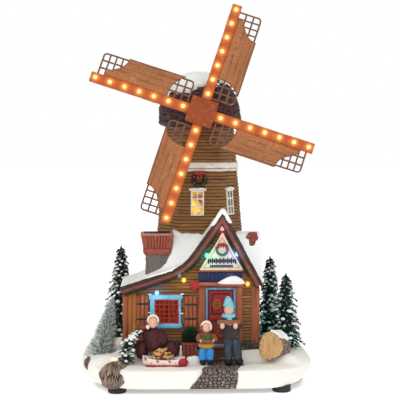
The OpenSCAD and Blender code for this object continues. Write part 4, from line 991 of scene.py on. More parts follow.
build("door_surround",
      [(blue_wood, lit(blue_parts)), (gap_shade, gap_shadows), (red_boards, lit(post_parts)),
       (hood_red, lit(hood_parts, power=0.2)),
                        (night_blue, panel), (hood_red, ledge)], instead=["door_frame"])
hood_drift = lit(drift(door_mid - 3.5, frame_high[0] + 1.6, front_y - 5.4, front_y - 0.6, hood_z + 2.6, 6.6,
                       3),
                 reach=11, power=0.25, names=["teal", "blue_right"])
build("hood_drift", [(cold_snow, hood_drift)])

step_brown = painted("step_brown", srgb(104, 66, 44), srgb(34, 20, 14), srgb(158, 110, 76),
                     stretch=(0.12, 1, 1), depth=0.7)
(sx0, sy0, sz0), (sx1, sy1, sz1) = steps_low, steps_high
tread = (sz1 - sz0) / 4
treads = []
for k in range(4):
    y0 = sy0 + (sy1 - sy0) * k / 4.6
    treads.append(block((sx0 + 0.4 * k, y0, sz0 + tread * k),
                        (sx1 - 0.3 * k, sy1 + 1.5, sz0 + tread * (k + 1) - 0.35), 0.5,
                        axis=0, wobble=0.3, seed=k, steps=14, tone=[0.3 + 0.12 * k]))
build("door_steps_planked", [(step_brown, joined(*treads))], instead=["door_steps"])

# ---- the window and its shutters ----
# A painted casement with a red lattice over dimly lit panes, set in a broad sky-blue frame whose head
# runs past its sides, between two shutters of upright boards on black strap hinges.

sash_low, sash_high = span("window_casement")
shut_low, shut_high = span("shutters")
wx0, wx1, wz0, wz1 = sash_low[0], sash_high[0], sash_low[2], sash_high[2]
rail = 3.9
sky_wood = painted("sky_wood", srgb(104, 172, 204), srgb(42, 84, 108), srgb(172, 216, 232),
                   stretch=(0.3, 1, 0.3), depth=0.5)
lattice_red = painted("lattice_red", srgb(164, 34, 28), srgb(70, 14, 12), srgb(206, 76, 54), grain=500.0)
frame_parts = joined(
    block((wx0 - 0.2, front_y - 3.0, wz0), (wx0 + rail, front_y, wz1), 0.6, wobble=0.35, seed=1, steps=10),
    block((wx1 - rail, front_y - 3.0, wz0), (wx1 - 1.6, front_y, wz1), 0.6, wobble=0.35, seed=2, steps=10),
    block((wx0 - 1.2, front_y - 3.5, wz1 - rail), (wx1 - 0.4, front_y, wz1 + 0.4), 0.7, axis=0, wobble=0.45,
          seed=3, steps=12),
    block((wx0 - 0.9, front_y - 3.7, wz0 - 0.6), (wx1 - 0.6, front_y, wz0 + rail - 0.2), 0.7, axis=0,
          wobble=0.4, seed=4, steps=12))
ox0, ox1, oz0, oz1 = wx0 + rail, wx1 - rail, wz0 + rail, wz1 - rail
panes_x, panes_z = 5, 5
bars_x = np.linspace(ox0 + 0.5, ox1 - 0.5, panes_x + 1)
bars_z = np.linspace(oz0 + 0.4, oz1 - 0.4, panes_z + 1)
wide = np.array([1.7, 1.15, 1.15, 1.15, 1.15, 1.7])
upright = block(np.stack([bars_x - wide / 2, np.full(6, front_y - 2.6), np.full(6, oz0 - 0.3)], -1),
                np.stack([bars_x + wide / 2, np.full(6, front_y - 1.3), np.full(6, oz1 + 0.3)], -1), 0.3,
                wobble=0.15, steps=8)
level_bars = block(np.stack([np.full(6, ox0 - 0.3), np.full(6, front_y - 2.7), bars_z - wide / 2], -1),
                   np.stack([np.full(6, ox1 + 0.3), np.full(6, front_y - 1.3), bars_z + wide / 2], -1), 0.3,
                   axis=0, wobble=0.15, seed=3, steps=8)


def glazing(name, deep, bright, strength, scale=220.0, coat=0.4):
    """Lit panes: emission that wanders between a deep and a bright colour, behind a glossy coat."""
    made, tree, shader, where = blank(name)
    wave = node(tree, "TexNoise", {"Vector": where, "Scale": scale, "Detail": 2.0})
    ramp = node(tree, "MapRange", {"Value": wave.outputs["Fac"], "From Min": 0.38, "From Max": 0.62})
    colour = node(tree, "Mix", {"Factor": ramp.outputs[0], "A": (0, 0, 0, 1)}, data_type="RGBA")
    colour.inputs["A"].default_value, colour.inputs["B"].default_value = deep, bright
    tree.links.new(colour.outputs["Result"], shader.inputs["Base Color"])
    tree.links.new(colour.outputs["Result"], shader.inputs["Emission Color"])
    shader.inputs["Emission Strength"].default_value = strength
    shader.inputs["Roughness"].default_value = 0.25
    shader.inputs["Coat Weight"].default_value = coat
    shader.inputs["Specular IOR Level"].default_value = coat
    made.cycles.emission_sampling = "NONE"
    bumped(tree, shader, wave.outputs["Fac"], 0.3, 0.0004)
    return made


dim_panes = glazing("dim_panes", srgb(46, 18, 12), srgb(110, 52, 18), 0.2, coat=0.05)


def glass_sheet(x0, x1, z0, z1, y, thick=0.5, swell=0.25, cells_x=5, cells_z=5):
    """Panes as one sheet whose face swells a little in each pane, like old crown glass."""
    x, z = np.meshgrid(np.linspace(x0, x1, cells_x * 6 + 1), np.linspace(z0, z1, cells_z * 6 + 1),
                       indexing="ij")
    bulge = swell * np.abs(np.sin((x - x0) / (x1 - x0) * cells_x * math.pi)
                           * np.sin((z - z0) / (z1 - z0) * cells_z * math.pi))
    return plate(np.stack([x, y - bulge, z], -1), np.stack([x, 0 * x + y + thick, z], -1))


def tuft(centre, size, seed):
    """A pat of snow: a lump flattened underneath."""
    part = lump(centre, size, seed, rows=14, around=18, rough=0.3)
    low = centre[2] - size[2] * 0.35
    part["p"][:, 2] = np.maximum(part["p"][:, 2], low)
    return part


pats = joined(tuft((wx0 - 0.6, front_y - 2.6, wz1 + 0.9), (1.9, 1.4, 0.9), 1),
              tuft((wx1 - 0.8, front_y - 2.6, wz1 + 0.9), (1.9, 1.4, 0.9), 2),
              tuft((wx0 - 0.8, front_y - 2.4, wz0 + 13.5), (1.3, 1.0, 0.7), 3),
              tuft((wx1 - 0.8, front_y - 2.4, wz0 + 12.5), (1.2, 1.0, 0.7), 4))
build("window_framed",
      [(sky_wood, lit(frame_parts, reach=9, power=0.7, names=["sky", "amber_left"])),
       (lattice_red, joined(upright, level_bars)),
                        (dim_panes, glass_sheet(ox0, ox1, oz0, oz1, front_y - 1.7, thick=1.5)),
                        (cold_snow, lit(pats))],
      instead=["window_casement"])

iron = moulded("strap_iron", srgb(30, 22, 20), rough=0.55, grain=1200.0, amount=0.5, bump=0.5)
shutter_boards, straps = [], []
for x0, x1, drop in ((shut_low[0], wx0 - 1.4, 0.0), (wx1 + 1.4, shut_high[0], 1.8)):
    edge = np.linspace(x0, x1, 4)
    n = len(edge) - 1
    shutter_boards.append(block(np.stack([edge[:-1] + 0.12, np.full(n, front_y - 2.4), np.full(n, wz0 - 0.3)],
                                         -1),
                                np.stack([edge[1:] - 0.12, np.full(n, front_y - 0.6),
                                          wz1 + np.array([0.8, 1.2, 0.5]) - drop], -1),
                                0.5, wobble=0.3, tone=[0.2, 0.7, 0.4], seed=int(x0) + 90, steps=12))
    for z in (wz0 + 8.0, wz0 + 21.4 - drop * 0.4):
        straps.append(block((x0 + 0.3, front_y - 2.9, z - 0.8), (x1 - 0.2, front_y - 2.0, z + 0.8), 0.3,
                            axis=0, wobble=0.12, steps=8))
build("shutters_boarded", [(red_boards, lit(joined(*shutter_boards))), (iron, joined(*straps))],
      instead=["shutters"])

# ---- the roofs, their snow and the chimney ----
# Brown boarded roofs: a steep front gable crossed by the main ridge, cast with their snow, which rolls
# over the eaves and fills the corner at the left. The stone chimney has a flaring crown of red brick.

roof_low, roof_high = span("roof")
snow_high = span("roof_snow")[1]
stack_low, stack_high = span("chimney")
ridge_x = (knee[0] - 9.5, roof_high[0])


snow_ridge = ridge_line[[0, 0, 0, 0, 1, 2]] + [(0, 0), (2.5, 12), (5.5, 20.5), (9, 24.5), (0, 0.5), (0, 0)]


def roof_height(x, y, fillet=0.0):
    """Top of the roof boards: the higher of the gable's line and the ridge's line, blended a little. Past
    the ridge's left end the ridge falls away: at once, or by a stretched exponential when filleted."""
    gable = roof_z(x)
    line = snow_ridge if fillet else ridge_line
    ridge = np.interp(y, line[:, 0], line[:, 1]) - 6 * np.clip(line[0, 0] - y, 0, 4)
    past = np.clip(ridge_x[0] - x, 0, None)
    ridge = gable + (ridge - gable) * np.exp(-(past / (3.5 if fillet else 0.25)) ** 0.8)
    k = 0.8
    return np.maximum(gable, ridge) + k * np.log1p(np.exp(-np.abs(gable - ridge) / k))


def roof_grid(edge, steps):
    """Plan positions over the whole roof, drawn in by edge, and how far each is from the rim."""
    x = np.linspace(roof_low[0] + edge, roof_high[0] - edge, steps[0])
    y = np.linspace(roof_low[1] + edge + 1.2, roof_high[1] - edge, steps[1])
    x, y = np.meshgrid(x, y, indexing="ij")
    inside = np.minimum(np.minimum(x - x[0, 0], x[-1, 0] - x), np.minimum(y - y[0, 0], y[0, -1] - y))
    return x, y, inside


def snow_cover():
    """Snow on the roofs: thin by the front gable, thicker behind and on the ridge, with lumps and an
    edge that rolls over as a quarter circle."""
    x, y, inside = roof_grid(0.1, (190, 110))
    base = roof_height(x, y, fillet=1.0)
    p = np.stack([x, y, 0 * x], -1)
    main = smooth(0.5, 6, base - roof_z(x))
    lean = smooth(-46, -6, y)
    band = smooth(-50, -42, x) * smooth(-14, -20, x)
    deep = 0.4 + 1.9 * lean * smooth(-56, -44, x) + 1.6 * main + 1.5 * band * smooth(-46, -43, y)
    swell = 1 + 0.35 * rough_noise(p, 9, 41) + 0.14 * rough_noise(p, 3, 43)
    roll = np.sqrt(np.clip(1 - (1 - np.clip(inside / 2.6, 0, 1)) ** 2, 0, 1))
    z = np.minimum(base + deep * swell * roll, snow_high[2] + 2)
    return plate(np.stack([x, y, z], -1), np.stack([x, y, base - 0.8], -1))


def roof_deck():
    """The roof boards: laps step the surface down the slopes every 4 mm, and the underside follows."""
    x, y, _ = roof_grid(0.0, (260, 120))
    top = roof_height(x, y)
    main = roof_height(x, y) > roof_z(x) + 1
    run = np.where(main, np.abs(y + 12) * 1.5, np.abs(x - apex[0]) * 1.9)
    course = run / 4 % 1
    own = noise(np.stack([np.floor(run / 4) * 9, np.where(main, x, y) / 2.5, 0 * x], -1), 3, 5)
    # Relief is lowest just below each lap's step: painted shade under the edge of the board above.
    return plate(np.stack([x, y, top - 0.45 + 0.5 * course], -1), np.stack([x, y, top - roof_t], -1),
                 relief=smooth(0, 0.3, course), tone=own)


roof_brown = painted("roof_brown", srgb(92, 58, 44), srgb(30, 18, 14), srgb(140, 96, 72),
                     stretch=(0.5, 0.5, 1), depth=0.6)
build("roof_boards", [(roof_brown, roof_deck())], instead=["roof"])
build("roof_snow_cover", [(cold_snow, lit(snow_cover(), reach=9, power=0.16))],
      instead=["roof_snow"])

stack_mid = np.array([stack_low[0] + 15.0, (stack_low[1] + stack_high[1]) / 2])
crown_z, crown_top = stack_high[2] - 14, stack_high[2]


def squared(rows, centre, per_side=16, seed=1, rough=0.3, size=5.0, stone=None):
    """A square-sectioned form: rows of (height, half width, half depth) carried round a rounded square,
    with rough noise, and the cell pattern of stones standing out when stone gives their size."""
    s = np.linspace(-1, 1, per_side, endpoint=False)
    line = np.concatenate([np.stack([s, 0 * s - 1], -1), np.stack([0 * s + 1, s], -1),
                           np.stack([-s, 0 * s + 1], -1), np.stack([0 * s - 1, -s], -1)])
    line = line / (np.abs(line) ** 9).sum(-1, keepdims=True) ** (1 / 9) * 1.02
    rows = np.asarray(rows, float)
    p = np.empty((len(rows), len(line), 3))
    p[..., :2] = np.asarray(centre) + line * rows[:, None, 1:]
    p[..., 2] = rows[:, :1]
    out = np.concatenate([line, 0 * line[:, :1]], -1) / np.linalg.norm(line, axis=-1)[:, None]
    push = rough * rough_noise(p, size, seed)
    relief, own = 1.0, 0.5
    if stone:
        around = np.arange(len(line))[None, :] * (8 * rows[:, 1:2] / len(line)) / stone
        _, gap, own = cells(around, p[..., 2] / stone * 1.6, seed)
        relief = smooth(0.02, 0.25, gap)
        push = push + 0.7 * relief * (0.5 + own)
    return loft(p + push[..., None] * out, relief, own)


stack_rows = [(z, 10.2, 9.7) for z in np.arange(stack_low[2] + 2, crown_z - 3, 0.9)]
stack_grey = painted("stack_grey", srgb(108, 98, 92), srgb(56, 48, 44), srgb(150, 138, 130),
                     stretch=(1, 1, 0.12), grain=420.0, depth=0.7, bump=0.8)
stack = squared(stack_rows, stack_mid, 26, seed=3, rough=0.7, size=2.2)
collar = squared([(crown_z - 5.4, 10.0, 9.6), (crown_z - 5.0, 11.6, 10.8), (crown_z - 2.2, 12.4, 11.6),
                  (crown_z - 0.4, 12.2, 11.4),
                  (crown_z + 0.4, 11.4, 10.8)], stack_mid, 22, seed=4, rough=0.7, size=3.0)


def crown():
    """Soldier bricks: upright blocks side by side round the stack, each run leaned outwards with height."""
    runs = []
    rng = np.random.default_rng(8)
    for side in range(4):
        half = (12.2, 11.4)[side % 2]
        away = (11.4, 12.2)[side % 2]
        cut = np.linspace(-half, half, 11)
        n = len(cut) - 1
        z0 = np.full(n, crown_z + 0.2)
        z1 = crown_top - 1.7 + rng.uniform(-0.3, 0.3, n)
        part = block(np.stack([cut[:-1] + 0.14, np.full(n, -away), z0], -1),
                     np.stack([cut[1:] - 0.14, np.full(n, -away + 3.0), z1], -1),
                     0.35, wobble=0.2, seed=side, steps=6, tone=rng.uniform(0, 1, n))
        p = part["p"]
        lean = 1 + (p[:, 2] - crown_z) / 13 * 0.2
        p[:, 0] *= lean
        p[:, 1] *= lean
        for _ in range(side):
            p[:, 0], p[:, 1] = -p[:, 1].copy(), p[:, 0].copy()
        p[:, :2] += stack_mid
        runs.append(part)
    return joined(*runs)


# The flue's inside and a dark lid across its mouth are painted shade of the opening.
throat = squared([(crown_z, 9.0, 8.6), (crown_top - 3.4, 11.4, 10.6), (crown_top - 3.2, 11.2, 10.4)],
                 stack_mid, 10, rough=0.1)
rim = [squared([(crown_top - 2.0, hx, hy), (crown_top - 1.9, hx + 0.5, hy + 0.5),
                (crown_top - 0.5, hx + 0.5, hy + 0.5), (crown_top, hx, hy)],
               stack_mid, 22, seed=6, rough=0.35, size=2.5) for hx, hy in ((14.0, 12.9),)]
flue_shade_lid = squared([(crown_top - 0.8, 11.6, 10.6), (crown_top + 0.15, 11.4, 10.4)], stack_mid, 16, seed=9,
                   rough=0.2)
brick_red = painted("brick_red", srgb(146, 74, 58), srgb(70, 36, 30), srgb(186, 118, 96), grain=380.0,
                    depth=0.55)
rim_pink = painted("rim_pink", srgb(176, 118, 104), srgb(92, 50, 42), srgb(214, 170, 156), grain=420.0)
flue_shade = painted("flue_shade", srgb(36, 26, 26), srgb(14, 10, 10), srgb(66, 48, 46))
patch_s, patch_a = np.meshgrid(np.linspace(0.03, 1, 22), np.linspace(0, TURN, 60, endpoint=False),
                               indexing="ij")
ragged = 1 + 0.35 * rough_noise(np.stack([np.cos(patch_a), np.sin(patch_a), 0 * patch_a], -1), 0.6, 4)
patch_x = 48.6 + 5.4 * patch_s * np.cos(patch_a) * ragged
patch_y = -26.6 + 3.4 * patch_s * np.sin(patch_a) * ragged
_, gap, own = cells(patch_x / 2.2, patch_y / 0.9, 6)
patch_z = roof_height(patch_x, patch_y, 1.0) + 2.6 + 2.2 * smooth(1.0, 0.8,
                                                                  patch_s) * (0.5 + 0.5
                                                                          * smooth(0, 0.25, gap))
patch_top = np.stack([patch_x, patch_y, patch_z], -1)
patch = loft(np.concatenate([patch_top, patch_top[::-1] - (0, 0, 3.5)]),
             np.concatenate([smooth(0, 0.3, gap), 0 * gap]), np.concatenate([own, own]))
build("chimney_built",
      [(stack_grey, stack), (brick_red, collar), (brick_red, crown()), (rim_pink, joined(*rim)),
                        (flue_shade, joined(throat, flue_shade_lid)), (brick_red, patch)],
                        instead=["chimney"])

# ---- the gable's barge boards, garland, bulbs and sign ----
# Two-tone barge boards follow the gable's line. A bristle garland with coloured light bulbs and a
# poinsettia hangs under them, round a painted three-cornered sign with a small wreath.


def resampled(line, step):
    """A line with extra points about a step apart; its corners stay."""
    out = [line[:1]]
    for a, b in zip(line[:-1], line[1:]):
        n = max(1, int(np.hypot(*(b - a)) / step))
        out.append(a + (b - a) * (np.arange(1, n + 1) / n)[:, None])
    return np.vstack(out)


def ribbon(line, section, wobble=0.0, seed=0, relief=1.0, tone=0.5):
    """A moulding along a line in the front's plane: its section is (offset up from the line, depth)."""
    p = np.stack([np.column_stack([shifted(line, d), np.full(len(line), y)])[:, [0, 2, 1]] for d,
                  y in section], 1)
    if wobble:
        p = p + wobble * np.stack([rough_noise(p, 3, seed + k) for k in range(3)], -1)
    return loft(p, relief, tone)


gable_line = resampled(roof_line, 1.2)
face = barge_low[1]
edge_board = ribbon(gable_line,
                    [(0.6, face), (0.9, face + 1.0), (0.7, face + 3), (-1.6, face + 3), (-2.1, face + 0.6),
                     (-1.8, face - 0.1), (-0.6, face - 0.25)], 0.35, 1)
red_board = ribbon(gable_line,
                   [(-1.9, face + 0.3), (-1.8, face + 2.4), (-5.0, face + 2.4), (-5.4, face + 1.0),
                    (-5.2, face + 0.4), (-3.6, face + 0.15)], 0.12, 2)
fillet_board = ribbon(gable_line,
                      [(-5.1, face + 1.0), (-5.0, face + 2.4), (-6.3, face + 2.4), (-6.4, face + 1.2)], 0.1,
                      3)
barge_dark = painted("barge_dark", srgb(58, 40, 34), srgb(24, 16, 14), srgb(104, 78, 66), grain=420.0,
                     depth=0.8)
barge_red = painted("barge_red", srgb(116, 66, 54), srgb(46, 26, 22), srgb(156, 106, 88),
                    stretch=(0.3, 1, 0.3), depth=0.6)
snow_run = gable_line[(gable_line[:, 0] > -46) & (gable_line[:, 0] < -18)]
capping = ribbon(snow_run,
                 [(0.2, face + 0.2), (1.3, face + 0.1), (2.2, face + 1.2), (2.2, face + 3), (0.2, face + 3)],
                 0.5, 4)
peak_x = np.linspace(apex[0] - 9, apex[0] + 5.5, 27)
peak_snow = joined(*[lump((x, face + 1.9, float(roof_z(np.array([x]))[0]) + 0.9),
                          (2.5, 2.3, 0.8 + 1.3 * (1 - abs(x - apex[0] + 1) / 9)), k // 4, rows=14, around=20,
                          rough=0.12)
                     for k, x in enumerate(peak_x)])
build("barge_boards_painted",
      [(barge_dark, lit(edge_board)), (barge_red, lit(red_board)), (barge_dark, fillet_board),
       (cold_snow, joined(capping, peak_snow))],
      instead=["barge_boards"])


def needles(root, tip, thick, tone=0.5, relief=1.0):
    """Thin three-sided spikes from their roots to their tips: a small triangle square to each spike,
    joined to its tip."""
    root, tip = np.asarray(root, float), np.asarray(tip, float)
    n = len(root)
    way = tip - root
    way = way / (np.linalg.norm(way, axis=-1, keepdims=True) + 1e-9)
    side = np.cross(way, np.where(np.abs(way[:, 2:]) > 0.9, X, Z))
    side /= np.linalg.norm(side, axis=-1, keepdims=True)
    other = np.cross(way, side)
    thick = np.broadcast_to(thick, (n,))[:, None]
    p = np.stack([root + thick * (math.cos(a) * side + math.sin(a) * other)
                  for a in (0.0, TURN / 3, 2 * TURN / 3)] + [tip], 1)
    faces = np.array([(0, 1, 3), (1, 2, 3), (2, 0, 3), (2, 1, 0)])[None] + (np.arange(n) * 4)[:, None, None]
    tris = faces.reshape(-1, 3)
    flat = p.reshape(-1, 3)
    if six_volume(flat, tris[:4]) < 0:
        tris = tris[:, ::-1]
    spread = lambda v: np.broadcast_to(np.asarray(v, float).reshape(-1, 1) if np.ndim(v) else v,
                                       (n, 4)).ravel()
    return shell(flat, np.zeros((0, 4), int), tris, spread(relief), spread(tone))


def bristles(line, count, length, seed, thick=0.22, flat=0.45):
    """Needles that stand out of a wire: each root is a random place on it, each tip a random way out."""
    rng = np.random.default_rng(seed)
    run = np.concatenate([[0], np.cumsum(np.linalg.norm(np.diff(line, axis=0), axis=1))])
    at = rng.uniform(0, run[-1], count)
    root = np.stack([np.interp(at, run, line[:, k]) for k in range(3)], -1)
    way = rng.normal(size=(count, 3))
    way[:, 1] = way[:, 1] * flat - 0.25
    way /= np.linalg.norm(way, axis=1)[:, None]
    return needles(root, root + way * length * rng.uniform(0.6, 1.0, count)[:, None], thick,
                   tone=rng.uniform(0, 1, count))


def cable(line, r, around=6, tone=0.5):
    """A round wire along a line of points: a circle carried square to it."""
    way = np.gradient(line, axis=0)
    way /= np.linalg.norm(way, axis=1)[:, None] + 1e-9
    side = np.cross(way, Y + 0.01)
    side /= np.linalg.norm(side, axis=1)[:, None] + 1e-9
    other = np.cross(way, side)
    a = np.linspace(0, TURN, around, endpoint=False)
    r = np.broadcast_to(r, (len(line),))[:, None, None]
    return loft(line[:, None] + r
                * (np.cos(a)[None, :, None] * side[:, None] + np.sin(a)[None, :, None] * other[:, None]),
                tone=tone)


hang = shifted(gable_line, -7.4)[2:-2]
hang_line = np.column_stack([hang[:, 0], np.full(len(hang), front_y - 2.6), hang[:, 1]])
garland_green = painted("garland_green", srgb(30, 62, 34), srgb(12, 26, 16), srgb(92, 128, 84), grain=700.0,
                        depth=0.4)
garland_bits = joined(cable(hang_line, 1.0), bristles(hang_line, 4200, 2.7, 5))


def glass(name, strength):
    """Coloured lamp glass: the colour its points carry, shining."""
    made, tree, shader, where = blank(name)
    glow = node(tree, "Attribute", attribute_name="glow")
    wave = node(tree, "TexNoise", {"Vector": where, "Scale": 900.0})
    share = node(tree, "MapRange",
                 {"Value": wave.outputs["Fac"], "From Min": 0.3, "From Max": 0.7, "To Min": 0.75,
                  "To Max": 1.0})
    tint = node(tree, "VectorMath", {0: glow.outputs["Color"], "Scale": share.outputs[0]}, operation="SCALE")
    tree.links.new(tint.outputs[0], shader.inputs["Base Color"])
    tree.links.new(tint.outputs[0], shader.inputs["Emission Color"])
    shader.inputs["Emission Strength"].default_value = strength
    shader.inputs["Roughness"].default_value = 0.15
    made.cycles.emission_sampling = "NONE"
    shader.inputs["Coat Weight"].default_value = 0.6
    return made


bulb_glass = glass("bulb_glass", 1.3)
bulbs = []
for k, ((x, z), colour) in enumerate(bulb_spots.values()):
    one = turned([(0.05, -2.2), (0.9, -2.0), (1.7, -1.2), (2.0, 0.0), (1.7, 1.1), (1.1, 2.0), (0.05, 2.5)],
                 (0, 0), 18)
    one["p"] = one["p"] * (0.8 if k == 6 else 1.0) + np.array([x, front_y - 5.2, z])
    one["glow"][:] = colour
    bulbs.append(one)
socket_rings = joined(*[hoop((x, front_y - 4.6, z + 2.4), 1.0, 0.45, axis=2, steps=16, around=8) for (x, z),
                        _ in bulb_spots.values()])
bow_red = painted("bow_red", srgb(172, 24, 30), srgb(78, 8, 14), srgb(214, 70, 66), grain=500.0, shine=0.5)


def petals(centre, r, count, seed, droop=0.5):
    """A flower of pointed petals: flattened lumps set round a centre, on two tiers."""
    parts = []
    rng = np.random.default_rng(seed)
    for k in range(count):
        a = TURN * (k / count) + rng.uniform(-0.15, 0.15)
        leaf = lump((0, 0, 0), (r * 0.52, 0.7, r * 0.28), seed + k, rows=10, around=14, rough=0.15)
        p = leaf["p"]
        p[:, 0] += r * 0.5
        p[:, 1] -= 0.5 + (k % 2) * 0.5 - droop * (p[:, 0] / r) ** 2
        x = p[:, 0] * math.cos(a) - p[:, 2] * math.sin(a)
        p[:, 2] = p[:, 0] * math.sin(a) + p[:, 2] * math.cos(a)
        p[:, 0] = x
        p += np.asarray(centre, float)
        parts.append(leaf)
    return joined(*parts)


flower = petals((-3.6, front_y - 4.2, 91.5), 4.6, 9, 3)
stamens = lump((-3.6, front_y - 6.0, 91.5), (0.9, 0.7, 0.9), 3, rows=10, around=12)
fixture = block((-18.8, face - 0.9, 99.4), (-15.8, face + 1, 102.6), 0.5, wobble=0.3, steps=6)
build("garland_lit",
      [(garland_green, lit(garland_bits, reach=4.5, power=0.35)), (bulb_glass, joined(*bulbs)),
       (gilt, joined(socket_rings, stamens)),
                      (bow_red, flower), (blue_wood, fixture)],
                      instead=["garland", "garland_bulbs"])


def three_cornered():
    """The sign's board: a rounded triangle whose edge stands up as a rim round a slightly hollow face."""
    t, s = np.meshgrid(np.linspace(0, 1, 70), np.linspace(-1, 1, 60), indexing="ij")
    half = (sign_high[0] - sign_low[0]) / 2
    mid = (sign_high[0] + sign_low[0]) / 2 + 1.0 * t
    z = sign_low[2] + (sign_high[2] - sign_low[2]) * t
    reach = half * (1 - t) ** 1.05 + 0.6
    x = mid + reach * s
    inside = np.minimum((1 - np.abs(s)) * reach * 0.86, z - sign_low[2])
    rim_h = smooth(2.0, 1.0, inside) * 0.8
    wave = 0.12 * rough_noise(np.stack([x, 0 * x, z], -1), 4, 3)
    return plate(np.stack([x, sign_low[1] - rim_h - wave, z], -1), np.stack([x, 0 * x + sign_high[1], z], -1),
                 relief=1 - 0.5 * smooth(1.0, 2.2, inside) * smooth(3.4, 2.2, inside))


cream = painted("cream_sign", srgb(214, 196, 160), srgb(140, 112, 84), srgb(240, 228, 200), grain=260.0,
                depth=0.3)
sign_mid = (sign_low[0] + sign_high[0]) / 2
diamond = lambda x, z, w, h, seed: lump((sign_mid + x, sign_low[1] - 0.3, z), (w, 0.5, h), seed, rows=8,
                                        around=10)
marks = joined(*[diamond(x, sign_low[2] + 8.2, 0.8, 2.9 - 0.9 * (k % 2), k) for k,
                 x in enumerate(np.linspace(-11.5, 12.5, 15))])
leaves_on = joined(*[diamond(x, sign_low[2] + 3.6, 0.75, 1.2, k) for k,
                     x in enumerate(np.linspace(-9.5, 9.5, 13))])


def wreath(centre, r, count, seed, thick=1.5):
    """A bristle wreath: needles that stand out of a ring of wire."""
    a = np.linspace(0, TURN, 60)
    line = np.stack([centre[0] + r * np.cos(a), 0 * a + centre[1], centre[2] + r * np.sin(a)], -1)
    return joined(hoop(centre, r, thick * 0.45, steps=36, around=8),
                  bristles(line, count, thick, seed, 0.2, 0.8))


def bow_knot(centre, size, seed):
    """A ribbon bow: two pinched loops, a knot and two tails."""
    parts = [lump(centre, (size * 0.26, size * 0.26, size * 0.26), seed, rows=10, around=12)]
    for s in (-1, 1):
        loop = lump((0, 0, 0), (size * 0.52, size * 0.24, size * 0.4), seed + s, rows=14, around=18,
                    rough=0.1)
        p = loop["p"]
        p[:, 2] *= 0.45 + 0.55 * np.abs(p[:, 0] / (size * 0.52) + s) / 2
        p += np.asarray(centre) + np.array([s * size * 0.5, 0, 0.12 * size])
        tail = lump((0, 0, 0), (size * 0.17, size * 0.13, size * 0.55), seed + s + 4, rows=12, around=12,
                    rough=0.1)
        q = tail["p"]
        q[:, 0] -= s * 0.35 * q[:, 2]
        q += np.asarray(centre) + np.array([s * size * 0.3, 0, -size * 0.5])
        parts += [loop, tail]
    return joined(*parts)


sign_wreath_at = (sign_mid + 0.6, sign_low[1] - 1.2, sign_low[2] + 18.2)
sign_bow = bow_knot((sign_wreath_at[0], sign_wreath_at[1] - 1.2, sign_wreath_at[2] + 4.2), 2.6, 4)
sign_board = lit(lit(three_cornered(), reach=9, power=0.55, names=["pink", "teal", "blue_right"]), reach=15,
                 power=0.2, names=["pink", "teal", "blue_right"])
build("sign_painted", [(cream, sign_board), (night_blue, joined(marks, leaves_on)),
                       (garland_green, lit(wreath(sign_wreath_at, 4.7, 900, 7, thick=2.2), reach=11,
                                           power=0.3)), (bow_red, sign_bow)],
      instead=["gable_sign"])

# ---- the mill tower ----
# A tapering six-sided tower cast with lapped boards, with a white two-step band under its cap and two
# casements, the front one lit. The paint is ochre and brown, with painted shade washed dark into the laps.

tower_low, tower_high = span("tower_body")
mill = np.array([(tower_low[0] + tower_high[0]) / 2, (tower_low[1] + tower_high[1]) / 2])
tower_top = tower_high[2]
corner_radius = lambda z: 47 - (np.asarray(z, float) - floor_z) * 16 / 196
facet_reach = lambda z: corner_radius(z) * math.cos(math.pi / 6)


def hexagon(per_side):
    """A six-sided ring with its first facet to the front, as points for a corner radius of 1."""
    a = math.pi / 6 + np.arange(7) * math.pi / 3 - math.pi / 2
    corner = np.stack([np.cos(a), np.sin(a)], -1)
    s = np.linspace(0, 1, per_side, endpoint=False)[None, :, None]
    return (corner[:-1, None] * (1 - s) + corner[1:, None] * s).reshape(-1, 2)


def tower_shell():
    """Courses of lapped boards up the outside, over the top and down the inside as one closed ring of
    rings. A board stands proud at its foot; noise waves it and hashes give each length its own tone."""
    ring = hexagon(22)
    n = len(ring)
    feet = np.arange(bank_z - 2, tower_top - 0.5, 3.05)
    section = ((-0.02, -0.45, 0.0), (0.06, 0.75, 0.7), (0.2, 0.85, 1.0), (0.8, 0.45, 0.95), (0.96, 0.1, 0.3))
    rows = np.array([(z + s * 3.05, d, r, k) for k, z in enumerate(feet) for s, d, r in section])
    z = np.minimum(rows[:, 0], tower_top)
    at = np.arange(n)[None, :]
    plank = np.floor((at + 7 * (rows[:, 3:] % 3)) / 15.4)
    tone = noise(np.stack([plank * 9.1, rows[:, 3:] * 7.7 + 0 * at, 0.0 * at + 0 * plank], -1), 3, 8)
    p = np.empty((len(z), n, 3))
    p[..., 2] = z[:, None]
    p[..., :2] = ring * corner_radius(z)[:, None, None]
    wave = 0.35 * rough_noise(np.stack([p[..., 0] / 4, p[..., 1] / 4, p[..., 2]], -1), 4, 12)
    seam = 0.5 * smooth(0.7, 0.0, np.abs((at + 7 * (rows[:, 3:] % 3)) % 15.4 - 0.4))
    push = rows[:, 1:2] + (wave - seam) * (rows[:, 1:2] > 0)
    p[..., :2] *= 1 + (push / facet_reach(z)[:, None])[..., None]
    inner = np.empty((2, n, 3))
    for k, level_z in enumerate((tower_top, bank_z - 2)):
        inner[k, :, :2] = ring * (corner_radius(level_z) - 3)
        inner[k, :, 2] = level_z
    p[..., :2] += mill
    inner[..., :2] += mill
    relief = np.concatenate([np.broadcast_to(rows[:, 2:3], (len(z), n)) - 0.6 * seam, np.zeros((2, n))])
    return loft(np.concatenate([p, inner]), relief, np.concatenate([tone, tone[:2]]), ring=True)


tower_boards = painted("tower_boards", srgb(134, 92, 52), srgb(42, 26, 15), srgb(178, 134, 84),
                       stretch=(0.14, 0.14, 1), depth=0.75)
tower_skin = tower_shell()
build("tower_boarded", [(tower_boards, tower_skin)], instead=["tower_body"])

